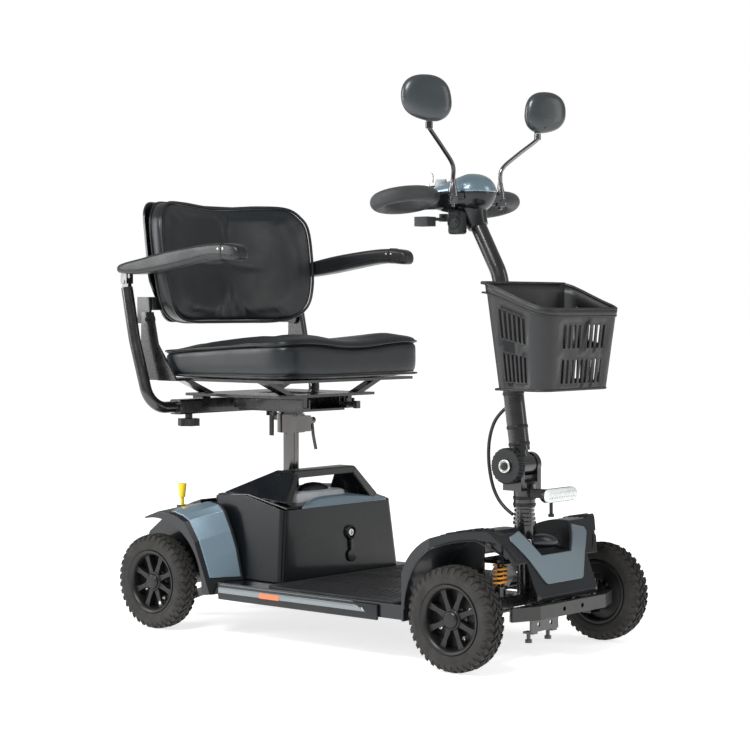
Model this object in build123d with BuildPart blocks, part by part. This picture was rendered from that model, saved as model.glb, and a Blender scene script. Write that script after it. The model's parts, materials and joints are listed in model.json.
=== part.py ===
"""Four-wheeled travel mobility scooter, in millimetres.

The front is -Y, +X is the rider's left, +Z is up and the ground is Z = 0.
The origin is on the ground under the middle of the scooter.
Sub-parts that come in pairs are made by functions of `side`: -1 right, +1 left.
"""
import os
from math import cos, radians, sin, tan

from build123d import *

os.makedirs("parts", exist_ok=True)

# Wheels and axles
WHEEL_RADIUS = 100.0
TYRE_HALF_WIDTH = 25.0
RIM_RADIUS = 63.0
AXLE_Z = 100.0
FRONT_AXLE_Y = -400.0
REAR_AXLE_Y = 400.0
HALF_TRACK = 242.0
SPOKES = 8

# Steering and front suspension
STEER_Y = -380.0
KINGPIN_X = 210.0
STEER_ARM = 50.0
TIE_ROD_Z = 84.0
SHOCK_X = 115.0
SHOCK_Y = -407.0
SPRING_TOP = 191.5
SPRING_BOTTOM = 148.5
SPRING_RADIUS = 12.4
SPRING_WIRE = 2.2

# Body
BODY_HALF_WIDTH = 262.0
FLOOR_Z = 114.0
MAT_THICKNESS = 4.0
FRAME_TOP = 104.0
SKIN = 4.0

# Tiller
FOLD_Y = -373.0
FOLD_Z = 371.0
TILLER_TUBE_RADIUS = 16.0
TILLER_BEND = (0.0, -319.0, 742.0)
TILLER_TOP = (0.0, -266.0, 838.0)
HEAD_Z = 905.0

# Seat
POST_Y = 240.0
POST_RADIUS = 17.0
SEAT_HALF_WIDTH = 225.0
SEAT_FRONT = 45.0
SEAT_REAR = 428.0
SEAT_BASE_Z = 530.0
BACKREST_PIVOT = (440.0, 652.0)
RECEIVER_Y = 400.0
RECEIVER_Z = 466.0
ARM_X = 263.0
ARM_PIVOT = (470.0, 732.0)

# Fits
RUNNING = 0.05


def keep(builder, name):
    """Label a finished piece and write its STEP file."""
    builder.part.label = name
    export_step(builder.part, f"parts/{name}.step")


def block(low, high, mode=Mode.ADD):
    """An upright block between two opposite corners."""
    middle = [(a + b) / 2 for a, b in zip(low, high)]
    with Locations(tuple(middle)):
        Box(*[abs(b - a) for a, b in zip(low, high)], mode=mode)


def both_sides(low, high, mode=Mode.ADD):
    """A block on the left and its mirror image on the right."""
    block(low, high, mode)
    block((-high[0], low[1], low[2]), (-low[0], high[1], high[2]), mode)


def rod(start, end, radius, mode=Mode.ADD, end_radius=None):
    """A round bar, or a cone where end_radius is given, from start to end."""
    along = Vector(*end) - Vector(*start)
    with BuildSketch(Plane(origin=start, z_dir=along)) as first:
        Circle(radius)
    if end_radius is None:
        extrude(first.sketch, amount=along.length, mode=mode)
    else:
        with BuildSketch(Plane(origin=end, z_dir=along)) as last:
            Circle(end_radius)
        loft([first.sketch, last.sketch], mode=mode)


def bent_rod(points, bends, radius, mode=Mode.ADD):
    """A round bar along straight runs joined by tangent arcs."""
    with BuildLine() as path:
        FilletPolyline(*points, radius=bends)
    with BuildSketch(Plane(origin=path.line @ 0, z_dir=path.line % 0)) as section:
        Circle(radius)
    sweep(section.sketch, path=path.line, mode=mode)


def side_view(x):
    """A sketch plane whose axes are +Y and +Z, facing +X at the given x."""
    return Plane(origin=(x, 0, 0), x_dir=(0, 1, 0), z_dir=(1, 0, 0))


def front_view(y):
    """A sketch plane whose axes are +X and +Z, facing -Y at the given y."""
    return Plane(origin=(0, y, 0), x_dir=(1, 0, 0), z_dir=(0, -1, 0))


def side_slab(outline, x_low, x_high, mode=Mode.ADD):
    """A slab with the given (y, z) outline between two x values."""
    with BuildSketch(side_view(x_low)) as face:
        Polygon(*outline, align=None)
    extrude(face.sketch, amount=x_high - x_low, mode=mode)


# ---------------------------------------------------------------- wheels

def wheel_face(side, y):
    """The wheel's middle plane, facing outwards."""
    return Plane(origin=(side * HALF_TRACK, y, AXLE_Z), x_dir=(0, 1, 0), z_dir=(side, 0, 0))


def wheel_section(side, y):
    """A plane through the axle whose x runs outwards and y upwards."""
    return Plane(origin=(side * HALF_TRACK, y, AXLE_Z), x_dir=(side, 0, 0), z_dir=(0, -side, 0))


def make_tyre(side, y, name):
    shoulder = WHEEL_RADIUS - 6
    half = TYRE_HALF_WIDTH
    with BuildPart() as tyre:
        with BuildSketch(wheel_section(side, y)):
            with BuildLine():
                ThreePointArc((-half + 1.5, 70), (-half, 82), (-half + 4, shoulder))
                ThreePointArc((-half + 4, shoulder), (0, WHEEL_RADIUS), (half - 4, shoulder))
                ThreePointArc((half - 4, shoulder), (half, 82), (half - 1.5, 70))
                Polyline((half - 1.5, 70), (19, RIM_RADIUS), (-19, RIM_RADIUS), (-half + 1.5, 70))
            make_face()
        revolve(axis=Axis((0, y, AXLE_Z), (1, 0, 0)))
    keep(tyre, name)


def make_rim(side, y, name, driven):
    """Rim band, recessed web and eight spokes; a driven rim has its half shaft."""
    axle = Axis((0, y, AXLE_Z), (1, 0, 0))
    with BuildPart(wheel_face(side, y)) as rim:
        with BuildSketch(wheel_section(side, y)):
            Polygon((-22, 66), (-19, RIM_RADIUS), (19, RIM_RADIUS), (22, 66), (22, 60),
                    (17, 57), (-17, 57), (-22, 60), align=None)
            Polygon((-4, 8), (2, 8), (2, 58), (-4, 58), align=None)
            Polygon((-20, 8), (15, 8), (15, 20), (12, 22), (-20, 22), align=None)
        revolve(axis=axle)
        with PolarLocations(39, SPOKES):
            Box(38, 10, 12, align=(Align.CENTER, Align.CENTER, Align.MIN))
        with PolarLocations(41, 4, start_angle=22.5):
            Cylinder(6, 4, align=(Align.CENTER, Align.CENTER, Align.MIN))
        with BuildSketch(wheel_section(side, y)):
            if driven:
                Polygon((-87, 0), (15, 0), (15, 9), (-87, 9), align=None)
            else:
                Polygon((-20, 0), (11, 0), (11, 8 + RUNNING), (-20, 8 + RUNNING), align=None)
        revolve(axis=axle, mode=Mode.ADD if driven else Mode.SUBTRACT)
        with BuildSketch(wheel_section(side, y)):
            Polygon((11, 0), (21, 0), (19, 14), (15, 19), (11, 19), align=None)
        revolve(axis=axle)
    keep(rim, name)


for end, axle_y in (("front", FRONT_AXLE_Y), ("rear", REAR_AXLE_Y)):
    for hand, hand_name in ((-1, "right"), (1, "left")):
        make_tyre(hand, axle_y, f"{end}_tyre_{hand_name}")
        make_rim(hand, axle_y, f"{end}_rim_{hand_name}", driven=end == "rear")


# ---------------------------------------------------------------- chassis

with BuildPart() as main_frame:
    both_sides((75, -300, 84), (100, 345, FRAME_TOP))
    for y_low, y_high in ((-300, -272), (40, 62), (212, 268), (325, 345)):
        block((-100, y_low, 84), (100, y_high, FRAME_TOP))
    # Box-section riser from the floor frame to the steering head
    riser_foot = Vector(0, -288, 90)
    riser_top = Vector(0, -350, 188)
    with BuildSketch(Plane(origin=riser_foot, x_dir=(1, 0, 0), z_dir=riser_top - riser_foot)):
        Rectangle(48, 24)
    extrude(amount=(riser_top - riser_foot).length)
    # Steering head, and the plate that holds the tops of the shock absorbers
    rod((0, STEER_Y, 180), (0, STEER_Y, 254), 20)
    block((-130, -426, 192), (130, -364, 199))
    block((-26, -364, 186), (26, -338, 199))
    rod((0, STEER_Y, 170), (0, STEER_Y, 260), 14 + RUNNING, Mode.SUBTRACT)
    for side in (-1, 1):
        rod((side * SHOCK_X, SHOCK_Y, 192), (side * SHOCK_X, SHOCK_Y, 125), 5)
    # Straps down to the skid plate, in front of the axle beam
    both_sides((28, -430, 52), (44, -426, 199))
    block((-45, -430, 52), (45, -426, 80))
    with BuildSketch(front_view(-436)):
        with Locations((-20, 66), (20, 66)):
            Circle(4.5)
    extrude(amount=-20, mode=Mode.SUBTRACT)
    # Two bolts that hang below the skid plate
    both_sides((24, -430, 48), (40, -406, 52))
    for side in (-1, 1):
        rod((side * 32, -414, 36), (side * 32, -414, 48), 4)
        rod((side * 32, -414, 30), (side * 32, -414, 36), 7)
    # Seat post socket
    rod((0, POST_Y, 84), (0, POST_Y, 252), 23)
    rod((0, POST_Y, 100), (0, POST_Y, 260), POST_RADIUS + RUNNING, Mode.SUBTRACT)
    # Rear plate for the transaxle, and the arms of the anti-tip rollers
    block((-100, 345, 84), (100, 352, 150))
    for side in (-1, 1):
        side_slab([(340, 84), (352, 84), (352, 96), (505, 45), (505, 31), (485, 31)],
                  side * 60 - 3, side * 60 + 3)
    with BuildSketch(side_view(-70)):
        with Locations((495, 38)):
            Circle(4 + RUNNING)
    extrude(amount=140, mode=Mode.SUBTRACT)
keep(main_frame, "main_frame")

with BuildPart() as anti_tip_rollers:
    rod((-82, 495, 38), (82, 495, 38), 4)
    for side in (-1, 1):
        rod((side * 64, 495, 38), (side * 80, 495, 38), 18)
keep(anti_tip_rollers, "anti_tip_rollers")

with BuildPart() as drive_unit:
    # Gearbox and axle tubes, with the motor behind
    rod((-190, REAR_AXLE_Y, AXLE_Z), (190, REAR_AXLE_Y, AXLE_Z), 16)
    rod((-35, REAR_AXLE_Y, AXLE_Z), (35, REAR_AXLE_Y, AXLE_Z), 46)
    block((-45, 352, 76), (45, 372, 140))
    rod((-150, 452, 122), (-10, 452, 122), 33)
    block((-40, 410, 90), (-12, 455, 140))
    for side in (-1, 1):
        rod((side * 150, REAR_AXLE_Y, AXLE_Z), (side * 191, REAR_AXLE_Y, AXLE_Z),
            9 + RUNNING, Mode.SUBTRACT)
    # Finned motor controller, bolted above as a separate box
    block((-70, 334, 150.5), (70, 424, 180))
    with Locations(*[(x, 379, 182) for x in range(-55, 60, 22)]):
        Box(6, 80, 5)
keep(drive_unit, "drive_unit")

with BuildPart() as floor_pan:
    block((-250, -283, 86), (250, 214, FLOOR_Z))
    block((-186, 200, FLOOR_Z - SKIN), (186, 320, FLOOR_Z))
    block((-246, -290, 80), (246, 330, FLOOR_Z - SKIN), Mode.SUBTRACT)
    rod((0, POST_Y, 80), (0, POST_Y, 120), 26, Mode.SUBTRACT)
    block((-26, -290, 80), (26, -270, 130), Mode.SUBTRACT)
keep(floor_pan, "floor_pan")

with BuildPart() as floor_mat:
    block((-242, -262, FLOOR_Z), (242, 88, FLOOR_Z + MAT_THICKNESS))
    fillet(floor_mat.edges().filter_by(Axis.Z), 18)
keep(floor_mat, "floor_mat")

with BuildPart() as side_trims:
    for side in (-1, 1):
        x_low, x_high = sorted((side * 250.1, side * 257.1))
        side_slab([(-221, 80), (206, 80), (214, 92), (214, 110), (-214, 112), (-221, 104)],
                  x_low, x_high)
keep(side_trims, "side_trims")


def front_cover_outline(inset, half_width):
    """Plan view of the front cover, drawn in from the skin by inset."""
    front = -487 + inset
    with BuildSketch(Plane.XY.offset(60)) as plan:
        Polygon((half_width, -285), (half_width, -352 + inset), (103, front), (-103, front),
                (-half_width, -352 + inset), (-half_width, -285), align=None)
        fillet(plan.vertices().group_by(Axis.Y)[0], 55)
    extrude(plan.sketch, amount=240)


def front_cover_profile(inset, rear):
    """Side view of the front cover, kept where it meets the plan view."""
    with BuildSketch(side_view(-300)) as profile:
        with BuildLine():
            Line((rear + 11, 86 - inset), (rear + 4, 141))
            Spline((rear + 4, 141), (rear - 6, 192 - inset), (-338 - inset, 241 - inset),
                   (-388, 258 - inset), (-424 + inset / 2, 258 - inset))
            Spline((-424 + inset / 2, 258 - inset), (-436 + inset, 240), (-455 + inset, 204),
                   (-475 + inset, 154), (-487 + inset, 130))
            Polyline((-487 + inset, 130), (-483 + inset, 120 - inset), (-470, 119 - inset),
                     (-470, 86 - inset), (rear + 11, 86 - inset))
        make_face()
    extrude(profile.sketch, amount=600, mode=Mode.INTERSECT)


def column_slot(wall, mode):
    """The V-shaped well round the steering head, open to the front and the top."""
    with BuildSketch(front_view(-520)) as face:
        Polygon((-46 - wall, 205 - wall), (46 + wall, 205 - wall), (86 + wall, 258),
                (86 + wall, 320), (-86 - wall, 320), (-86 - wall, 258), align=None)
    extrude(face.sketch, amount=-172 - wall, mode=mode)


with BuildPart() as front_cavity:
    front_cover_outline(SKIN, 300)
    front_cover_profile(SKIN, -283)
    block((-148, -500, 60), (148, -260, 300), Mode.INTERSECT)
    column_slot(SKIN, Mode.SUBTRACT)

WELL_WALL = 152.0
ARCH_Y = -402.0
ARCH_RISE = 142.0
FRONT_ARCH = [(-396, 50), (-510, 50), (-510, 130), (-487, 130), (-481, 156), (-465, 188),
              (-440, 213), (-409, 233), (-396, 239)]

with BuildPart() as front_cover:
    front_cover_outline(0, BODY_HALF_WIDTH)
    front_cover_profile(0, -285)
    # Wheel arches: half an ellipse over each wheel, open below
    for x_low, x_high in ((-300, -WELL_WALL), (WELL_WALL, 300)):
        with BuildSketch(side_view(x_low)):
            with Locations((ARCH_Y, AXLE_Z)):
                Ellipse(112, ARCH_RISE)
            with Locations((ARCH_Y - 20, AXLE_Z - 50)):
                Rectangle(264, 100)
        extrude(amount=x_high - x_low, mode=Mode.SUBTRACT)
    for x_low, x_high in ((-300, -100), (100, 300)):
        side_slab(FRONT_ARCH, x_low, x_high, Mode.SUBTRACT)
    add(front_cavity.part, mode=Mode.SUBTRACT)
    block((-148, -300, 60), (148, -260, 190), Mode.SUBTRACT)
    # Ways through the well walls for the axle beam and the tie rod
    both_sides((140, -430, 60), (160, -325, 145), Mode.SUBTRACT)
    column_slot(0, Mode.SUBTRACT)
    rod((0, STEER_Y, 190), (0, STEER_Y, 215), 22, Mode.SUBTRACT)
keep(front_cover, "front_cover")

with BuildPart() as cover_solid:
    front_cover_outline(0, BODY_HALF_WIDTH)
    front_cover_profile(0, -285)

with BuildPart() as front_fascia:
    with Locations((0, -3, 0)):
        add(cover_solid.part)
    with BuildSketch(front_view(-400)) as u_shape:
        Polygon((-60, 152), (60, 152), (92, 200), (124, 236), (122, 244), (88, 252), (50, 204),
                (-50, 204), (-88, 252), (-122, 244), (-124, 236), (-92, 200), align=None)
        fillet(u_shape.vertices().group_by(Axis.Y)[0], 14)
    extrude(amount=120, mode=Mode.INTERSECT)
    add(cover_solid.part, mode=Mode.SUBTRACT)
keep(front_fascia, "front_fascia")

with BuildPart() as front_bumper:
    with BuildSketch(Plane.XY.offset(91)):
        Polygon((-108, -497), (108, -497), (168, -474), (160, -462), (104, -484), (-104, -484),
                (-160, -462), (-168, -474), align=None)
    extrude(amount=26)
    fillet(front_bumper.edges().filter_by(Axis.Z), 3)
    for side in (-1, 1):
        block((side * 36 - 8, -486, 94), (side * 36 + 8, -430, 106))
    with BuildSketch(front_view(-500)):
        with Locations((-30, 104), (30, 104)):
            Circle(4.5)
    extrude(amount=-17, mode=Mode.SUBTRACT)
keep(front_bumper, "front_bumper")

POD_INNER = 192.0
REAR_ARCH_CENTRE = (388.0, 98.0)
REAR_ARCH = 138.0
# (y, z) outlines of a mudguard pod beside the battery and at the wheel's outer lip
POD_INSIDE = [(190, 88), (418, 88), (418, 240), (350, 262), (290, 272), (262, 268), (247, 255),
              (227, 216), (212, 179)]
POD_LIP = [(226, 88), (418, 88), (418, 236), (378, 250), (345, 248), (318, 241), (300, 233),
           (270, 192), (248, 141)]
CAVITY_INSIDE = [(206, 119), (412, 119), (412, 235), (349, 257), (290, 267), (264, 262),
                 (252, 250), (233, 214), (219, 179)]
CAVITY_LIP = [(241, 119), (412, 119), (412, 229), (377, 244), (347, 242), (322, 235),
              (305, 228), (277, 189), (255, 139)]


def pod(side, inside, lip, x_inside, x_lip):
    """A mudguard pod: straight lines run from its inner outline to its lip."""
    sections = []
    for x, outline in ((side * x_inside, inside), (side * x_lip, lip)):
        with BuildSketch(side_view(x)) as section:
            Polygon(*outline, align=None)
        sections.append(section.sketch)
    loft(sections, ruled=True)


def wheel_arch(radius):
    """Cut a wheel arch of the given radius through both pods."""
    y, z = REAR_ARCH_CENTRE
    rod((-300, y, z), (300, y, z), radius, Mode.SUBTRACT)


with BuildPart() as pod_cavities:
    for side in (-1, 1):
        pod(side, CAVITY_INSIDE, CAVITY_LIP, POD_INNER + 4, BODY_HALF_WIDTH - 5)
    wheel_arch(REAR_ARCH + 4)

with BuildPart() as pods:
    for side in (-1, 1):
        pod(side, POD_INSIDE, POD_LIP, POD_INNER, BODY_HALF_WIDTH)
    # Room for the floor and its side trims
    block((-300, 150, 60), (300, 222, 115), Mode.SUBTRACT)

with BuildPart() as rear_cover:
    add(pods.part)
    wheel_arch(REAR_ARCH)
    add(pod_cavities.part, mode=Mode.SUBTRACT)
    # The housing over the motor joins the pods
    side_slab([(322, 120), (322, 274), (345, 267), (418, 240), (478, 196), (490, 170), (490, 92),
               (440, 92)], -POD_INNER, POD_INNER)
    side_slab([(318, 90), (318, 230), (326, 270), (344, 263), (416, 236), (475, 193), (486, 168),
               (486, 80), (318, 80)], -POD_INNER + 4, POD_INNER - 4, Mode.SUBTRACT)
    for side in (-1, 1):
        with BuildSketch(side_view(side * 170 - 23)):
            with Locations((REAR_AXLE_Y, AXLE_Z)):
                Circle(22)
        extrude(amount=46, mode=Mode.SUBTRACT)
    # Slotted boss for the freewheel lever
    rod((-180, 390, 244), (-180, 390, 257), 12)
    block((-185, 376, 225), (-175, 404, 262), Mode.SUBTRACT)
keep(rear_cover, "rear_cover")

with BuildPart() as panel_zone:
    both_sides((198, 160, 122), (254, 345, 290))

with BuildPart() as rear_fender_panels:
    # A thin skin that stands just proud of each pod's slanting front
    for side in (-1, 1):
        skin = pods.part.solids().sort_by(Axis.X)[0 if side < 0 else -1]
        with Locations((side * 1.2, -2, 1.2)):
            add(skin)
    add(panel_zone.part, mode=Mode.INTERSECT)
    add(pods.part, mode=Mode.SUBTRACT)
keep(rear_fender_panels, "rear_fender_panels")

with BuildPart() as freewheel_lever:
    rod((-180, 390, 238), (-180, 390, 274), 4)
    rod((-180, 390, 274), (-180, 390, 303), 6.5, end_radius=9.5)
keep(freewheel_lever, "freewheel_lever")


# ---------------------------------------------------------------- front suspension and steering

FORK_INNER = 186.0

with BuildPart() as front_axle:
    block((-FORK_INNER - 3, -419, 106), (FORK_INNER + 3, -397, 128))
    for side in (-1, 1):
        x_low, x_high = sorted((side * FORK_INNER, side * (FORK_INNER + 7)))
        block((x_low, -410, 61), (x_high, -390, 139))
        x_low, x_high = sorted((side * FORK_INNER, side * 219))
        block((x_low, -410, 131), (x_high, -390, 139))
        block((x_low, -410, 61), (x_high, -390, 69))
        rod((side * KINGPIN_X, FRONT_AXLE_Y, 60), (side * KINGPIN_X, FRONT_AXLE_Y, 141), 5)
        # Lower half of the shock absorber, bored for the rod from the frame
        rod((side * SHOCK_X, SHOCK_Y, 104), (side * SHOCK_X, SHOCK_Y, 146), 11)
        rod((side * SHOCK_X, SHOCK_Y, 144), (side * SHOCK_X, SHOCK_Y, 148), 15)
        rod((side * SHOCK_X, SHOCK_Y, 112), (side * SHOCK_X, SHOCK_Y, 149), 5 + RUNNING,
            Mode.SUBTRACT)
keep(front_axle, "front_axle")


with BuildPart() as shock_springs:
    # Round-wire compression springs, four and a half turns each
    length = SPRING_TOP - SPRING_BOTTOM - 2 * SPRING_WIRE
    for side in (-1, 1):
        foot = Vector(side * SHOCK_X, SHOCK_Y, SPRING_BOTTOM + SPRING_WIRE)
        with BuildLine() as coil:
            Helix(pitch=length / 4.5, height=length, radius=SPRING_RADIUS, center=foot)
        start = foot + Vector(SPRING_RADIUS, 0, 0)
        with BuildSketch(Plane(origin=start, x_dir=(1, 0, 0), z_dir=(0, 1, 0))) as wire:
            Circle(SPRING_WIRE)
        sweep(wire.sketch, path=coil.line, is_frenet=True)
keep(shock_springs, "shock_springs")


def make_knuckle(side, name):
    """Kingpin boss with its stub axle and steering arm."""
    king = side * KINGPIN_X
    with BuildPart() as knuckle:
        rod((king, FRONT_AXLE_Y, 69.5), (king, FRONT_AXLE_Y, 130.5), 9)
        rod((king, FRONT_AXLE_Y, AXLE_Z), (side * (HALF_TRACK + 10), FRONT_AXLE_Y, AXLE_Z), 8)
        block((king - 5, FRONT_AXLE_Y, 90), (king + 5, FRONT_AXLE_Y + STEER_ARM, 98))
        rod((king, FRONT_AXLE_Y + STEER_ARM, 90), (king, FRONT_AXLE_Y + STEER_ARM, 98), 6)
        rod((king, FRONT_AXLE_Y + STEER_ARM, 78), (king, FRONT_AXLE_Y + STEER_ARM, 90), 3)
        rod((king, FRONT_AXLE_Y, 60), (king, FRONT_AXLE_Y, 141), 5 + RUNNING, Mode.SUBTRACT)
    keep(knuckle, name)


make_knuckle(-1, "knuckle_right")
make_knuckle(1, "knuckle_left")

with BuildPart() as tie_rod:
    tie_y = FRONT_AXLE_Y + STEER_ARM
    for side in (-1, 1):
        rod((side * KINGPIN_X, tie_y, 80), (side * KINGPIN_X, tie_y, 88), 7)
    rod((-KINGPIN_X, tie_y, TIE_ROD_Z), (KINGPIN_X, tie_y, TIE_ROD_Z), 3.6)
    block((-8, tie_y, 80), (8, STEER_Y + STEER_ARM, 88))
    rod((0, STEER_Y + STEER_ARM, 80), (0, STEER_Y + STEER_ARM, 88), 8)
    rod((0, STEER_Y + STEER_ARM, 88), (0, STEER_Y + STEER_ARM, 116), 3)
    rod((-KINGPIN_X, tie_y, 78), (-KINGPIN_X, tie_y, 90), 3 + RUNNING, Mode.SUBTRACT)
    # The left end's pivot is an open one, with room round the pin
    rod((KINGPIN_X, tie_y, 78), (KINGPIN_X, tie_y, 90), 3.6, Mode.SUBTRACT)
keep(tie_rod, "tie_rod")

with BuildPart() as steering_column:
    rod((0, STEER_Y, 98), (0, STEER_Y, 290), 14)
    block((-7, STEER_Y, 98), (7, STEER_Y + STEER_ARM, 106))
    rod((0, STEER_Y + STEER_ARM, 98), (0, STEER_Y + STEER_ARM, 106), 7)
    rod((0, STEER_Y + STEER_ARM, 97), (0, STEER_Y + STEER_ARM, 107), 3.6, Mode.SUBTRACT)
    # Ribbed boot, collar and the two ears of the fold joint
    for ring in range(4):
        rod((0, STEER_Y, 256 + 8 * ring), (0, STEER_Y, 261 + 8 * ring), 23 - ring)
    rod((0, STEER_Y, 288), (0, STEER_Y, 338), 21.5)
    for side in (-1, 1):
        x_low, x_high = sorted((side * 21, side * 33))
        block((x_low, -396, 322), (x_high, -352, FOLD_Z))
        rod((x_low, FOLD_Y, FOLD_Z), (x_high, FOLD_Y, FOLD_Z), 24)
    block((-33, -396, 322), (33, -352, 338))
    rod((-34, FOLD_Y, FOLD_Z), (34, FOLD_Y, FOLD_Z), 6 + RUNNING, Mode.SUBTRACT)
keep(steering_column, "steering_column")

with BuildPart() as fold_knob:
    rod((-53, FOLD_Y, FOLD_Z), (-34, FOLD_Y, FOLD_Z), 33)
    with BuildSketch(side_view(-52)):
        with Locations((FOLD_Y, FOLD_Z)):
            with PolarLocations(33, 24):
                Circle(2)
    extrude(amount=16)
    rod((-34.5, FOLD_Y, FOLD_Z), (33.5, FOLD_Y, FOLD_Z), 6)
    rod((33.5, FOLD_Y, FOLD_Z), (40, FOLD_Y, FOLD_Z), 11)
    rod((-56, FOLD_Y, FOLD_Z), (-53, FOLD_Y, FOLD_Z), 12)
keep(fold_knob, "fold_knob")

with BuildPart() as headlight:
    block((-52, -471, 304), (52, -450, 331))
    fillet(headlight.edges().filter_by(Axis.Y), 8)
    block((-11, -450, 309), (11, -392, 325))
    rod((0, STEER_Y, 300), (0, STEER_Y, 340), 21.6, Mode.SUBTRACT)
keep(headlight, "headlight")


# ---------------------------------------------------------------- tiller

with BuildPart() as tiller_tube:
    bent_rod([(0, FOLD_Y, FOLD_Z), TILLER_BEND, TILLER_TOP], 90, TILLER_TUBE_RADIUS)
    rod((-20.4, FOLD_Y, FOLD_Z), (20.4, FOLD_Y, FOLD_Z), 22)
    rod((0, -369, 398), (0, -349.8, 530), 20.3)
    # Basket hook on the front of the tube
    block((-14, -381, 556), (14, -338, 600))
    rod((-34, FOLD_Y, FOLD_Z), (34, FOLD_Y, FOLD_Z), 6 + RUNNING, Mode.SUBTRACT)
keep(tiller_tube, "tiller_tube")

LOOP_CENTRE = (133.0, -187.0, 888.0)
LOOP_HALF = (67.0, 43.0)
LOOP_TUBE = 15.0
LOOP_TILT = 16.0


def loop_plane(side):
    """The hand loop's plane, tipped up towards the front."""
    tilt = radians(LOOP_TILT)
    return Plane(origin=(side * LOOP_CENTRE[0], LOOP_CENTRE[1], LOOP_CENTRE[2]),
                 x_dir=(1, 0, 0), z_dir=(0, sin(tilt), cos(tilt)))


with BuildPart() as hand_loops:
    for side in (-1, 1):
        plane = loop_plane(side)
        with BuildLine(plane) as ring:
            EllipticalCenterArc((0, 0), *LOOP_HALF, start_angle=0, arc_size=180)
            EllipticalCenterArc((0, 0), *LOOP_HALF, start_angle=180, arc_size=180)
        rim_point = plane.from_local_coords((LOOP_HALF[0], 0, 0))
        with BuildSketch(Plane(origin=rim_point, x_dir=plane.x_dir, z_dir=plane.y_dir)) as bar:
            Circle(LOOP_TUBE)
        sweep(bar.sketch, path=ring.line)
keep(hand_loops, "hand_loops")

HEAD_OUTLINE = [(-296, 905), (-290, 880), (-262, 866), (-190, 866), (-140, 884), (-128, 905)]

with BuildPart() as tiller_head:
    side_slab(HEAD_OUTLINE, -48, 48)
    fillet(tiller_head.edges().filter_by(Axis.X).group_by(Axis.Z)[0], 8)
    rod(TILLER_TOP, (0, -245, 874), 19, end_radius=36)
    # Horn unit beside the neck
    block((-50, -258, 822), (-26, -226, 868))
    rod((-53, -242, 842), (-50, -242, 842), 12)
    bent_rod([(0, FOLD_Y, FOLD_Z), TILLER_BEND, TILLER_TOP], 90, TILLER_TUBE_RADIUS,
             Mode.SUBTRACT)
    # Cradles that hold the two hand loops
    for side in (-1, 1):
        x_low, x_high = sorted((side * 46, side * 62))
        block((x_low, -212, 874), (x_high, -162, 904))
    add(hand_loops.part, mode=Mode.SUBTRACT)
keep(tiller_head, "tiller_head")

with BuildPart() as tiller_shroud:
    # Domed nose, then the sloping instrument deck behind it
    with BuildSketch(Plane.XY.offset(HEAD_Z)) as dome_foot:
        with Locations((0, -250)):
            Circle(46)
    with BuildSketch(Plane.XY.offset(HEAD_Z + 20)) as dome_shoulder:
        with Locations((0, -250)):
            Circle(39)
    with BuildSketch(Plane.XY.offset(HEAD_Z + 36)) as dome_top:
        with Locations((0, -250)):
            Circle(13)
    loft([dome_foot.sketch, dome_shoulder.sketch, dome_top.sketch])
    side_slab([(-240, HEAD_Z), (-240, 920), (-135, 911), (-128, HEAD_Z)], -44, 44)
keep(tiller_shroud, "tiller_shroud")

MIRROR_PIVOT = (176, -282, 1018)
MIRROR_CENTRE = (194, -286, 1075)

with BuildPart() as mirror_stems:
    for side in (-1, 1):
        rod((side * 77, -262, 884), (side * 77, -262, 922), 9)
        x_low, x_high = sorted((side * 48, side * 78))
        block((x_low, -268, 888), (x_high, -256, 902))
        bent_rod([(side * 77, -262, 920), (side * 79, -264, 962), (side * 173, -281, 1022)],
                 30, 4)
        pin_x, pin_y, pin_foot = MIRROR_PIVOT
        rod((side * pin_x, pin_y, pin_foot), (side * pin_x, pin_y, pin_foot + 14), 7)
keep(mirror_stems, "mirror_stems")


def make_mirror_head(side, name, facing, width, height):
    """A domed shell on a short neck, with the glass set into its flat rear face."""
    centre = (side * MIRROR_CENTRE[0], *MIRROR_CENTRE[1:])
    face = Plane(origin=centre, x_dir=(1, 0, 0), z_dir=facing)
    with BuildPart() as head:
        with BuildSketch(face):
            Ellipse(width / 2, height / 2)
        with BuildSketch(face.offset(12)):
            Ellipse(width / 2 - 7, height / 2 - 7)
        with BuildSketch(face.offset(20)):
            Ellipse(width / 2 - 22, height / 2 - 21)
        loft()
        with BuildSketch(face):
            Ellipse(width / 2 - 3, height / 2 - 3)
        extrude(amount=2, mode=Mode.SUBTRACT)
        with BuildSketch(face.offset(0.6)):
            Ellipse(width / 2 - 3, height / 2 - 3)
        extrude(amount=1.4)
        pin_x, pin_y, pin_foot = MIRROR_PIVOT
        rod((side * pin_x, pin_y, pin_foot + 14.5), (side * pin_x, pin_y, 1042), 6)
        rod((side * pin_x, pin_y - 1, 1040), (side * 184, -300, 1055), 5.5, end_radius=9)
    keep(head, name)


make_mirror_head(-1, "mirror_head_right", (-0.45, -0.9, 0.05), 104, 90)
make_mirror_head(1, "mirror_head_left", (-0.35, -0.93, 0), 96, 84)

with BuildPart() as throttle_lever:
    rod((0, -178, 850), (0, -178, 865.4), 9)
    block((-62, -184, 851), (62, -172, 857))
    for side in (-1, 1):
        block((side * 72 - 14, -204, 838), (side * 72 + 14, -172, 857))
keep(throttle_lever, "throttle_lever")

with BuildPart() as speed_dial:
    rod((-26, -192, 917.4), (-26, -192, 930), 13, end_radius=11.5)
    block((-28, -204, 930), (-24, -180, 933))
keep(speed_dial, "speed_dial")

with BuildPart() as key:
    rod((-18, -152, 915), (-18, -152, 921), 7)
    block((-19, -155, 921), (-17, -149, 928))
    block((-20, -165, 928), (-16, -139, 948))
    fillet(key.edges().filter_by(Axis.X).group_by(Axis.Z)[-1], 8)
keep(key, "ignition_key")

with BuildPart() as horn_button:
    rod((22, -150, 915), (22, -150, 920), 7)
keep(horn_button, "horn_button")

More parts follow.
